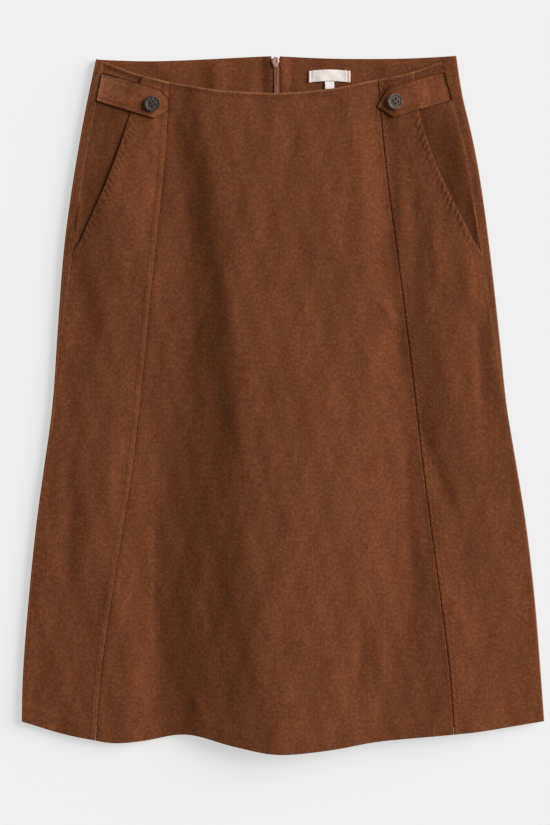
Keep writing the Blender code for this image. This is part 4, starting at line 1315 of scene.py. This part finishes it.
satin = satin_weave()
label_trees = []
for name, node, flat in (
    ("label_woven", "label_main", (0.045, 0.0125)),
    ("label_tab_woven", "label_size", (0.010, 0.010)),
):
    label = wall_copy(name, node)
    refine(label, 0, 0, 0, rim=0.25)
    cut_grid(label, 1.0, 1.5)
    points, normals = points_of(label)
    x, y, z = points.T
    from_end = np.minimum(x - LABEL_LEFT, LABEL_RIGHT - x)
    z += facing_lift(x, TOP - y) + 0.25
    z += 0.25 * np.sin(x / 6.1) * smooth(2, 9, from_end) + 0.12 * np.sin(x / 2.9 + y / 4.0)
    folded = hump(from_end - 3.0, 0.8) + 0.5 * hump(from_end, 1.2)
    z -= 0.3 * smooth(-0.2, 0.4, normals[:, 2]) * hump(from_end - 3.0, 0.7)
    note(label, "folded", np.clip(folded, 0, 1) * 0.8)
    move_points(label, points)
    label_trees.append(tree_of(label))
    finish_cloth(label, node, satin)
cream_thread = spun_thread("cream_thread", "#e9d3c6")
ends = [
    np.stack([np.full(7, x), np.linspace(LABEL_TOP, LABEL_TOP - 10.5, 7)], 1)
    for x in (LABEL_LEFT + 1.2, LABEL_RIGHT - 1.2)
]
stitch_rows("label_stitching", ends, label_trees, [], cream_thread, length=1.4, width=0.5)


# ---- Table, light and camera ---------------------------------------------------------------------
# A pale table that also glows a little, so that shadows on it stay soft and weak, a dim overall light,
# and a very large low softbox at the right.

FRAME_HEIGHT = 825 * 1.0837  # pixels of the frame, each as many mm
VIEW_CENTRE = (-8.7 * MM, -8.45 * MM)
VIEW_PLANE = 6 * MM
CAMERA_HEIGHT = 4.0
TABLE_WHITE = 0.87  # linear
TABLE_GLOW = 0.64  # share of its brightness that is its own
ROOM_LIGHT = 0.2
SUN_ELEVATION = math.radians(23)
SUN_AZIMUTH = math.radians(20)

table_grey = TABLE_WHITE * (1 - TABLE_GLOW)
bpy.ops.mesh.primitive_plane_add(size=8, location=(0, 0, -0.2 * MM))
table = bpy.context.object
table.name = "table"
table_paint, _, _ = plain_material(
    "matt_white_board", Base_Color=(table_grey, table_grey, table_grey, 1), Roughness=1.0,
    Specular_IOR_Level=0.0, Emission_Color=(1, 1, 1, 1), Emission_Strength=TABLE_WHITE * TABLE_GLOW,
)
table.data.materials.append(table_paint)

world = bpy.data.worlds.new("soft_room")
bpy.context.scene.world = world
world.use_nodes = True
world.node_tree.nodes["Background"].inputs["Color"].default_value = (1, 1, 1, 1)
world.node_tree.nodes["Background"].inputs["Strength"].default_value = ROOM_LIGHT

direction = Vector((
    math.cos(SUN_ELEVATION) * math.cos(SUN_AZIMUTH),
    math.cos(SUN_ELEVATION) * math.sin(SUN_AZIMUTH),
    math.sin(SUN_ELEVATION),
))
bpy.ops.object.light_add(type="SUN", location=direction * 3)
softbox = bpy.context.object
softbox.name = "low_softbox"
softbox.rotation_euler = (-direction).to_track_quat("-Z", "Y").to_euler()
softbox.data.energy = (1 - ROOM_LIGHT) * math.pi / math.sin(SUN_ELEVATION)
softbox.data.angle = math.radians(46)

bpy.ops.object.camera_add(location=(*VIEW_CENTRE, VIEW_PLANE + CAMERA_HEIGHT), rotation=(0, 0, 0))
camera = bpy.context.object
camera.data.type = "PERSP"
camera.data.sensor_width = 36
camera.data.lens = camera.data.sensor_width * CAMERA_HEIGHT / (FRAME_HEIGHT * MM)
camera.data.clip_end = 50
bpy.context.scene.camera = camera
bpy.context.scene.view_settings.view_transform = "Standard"
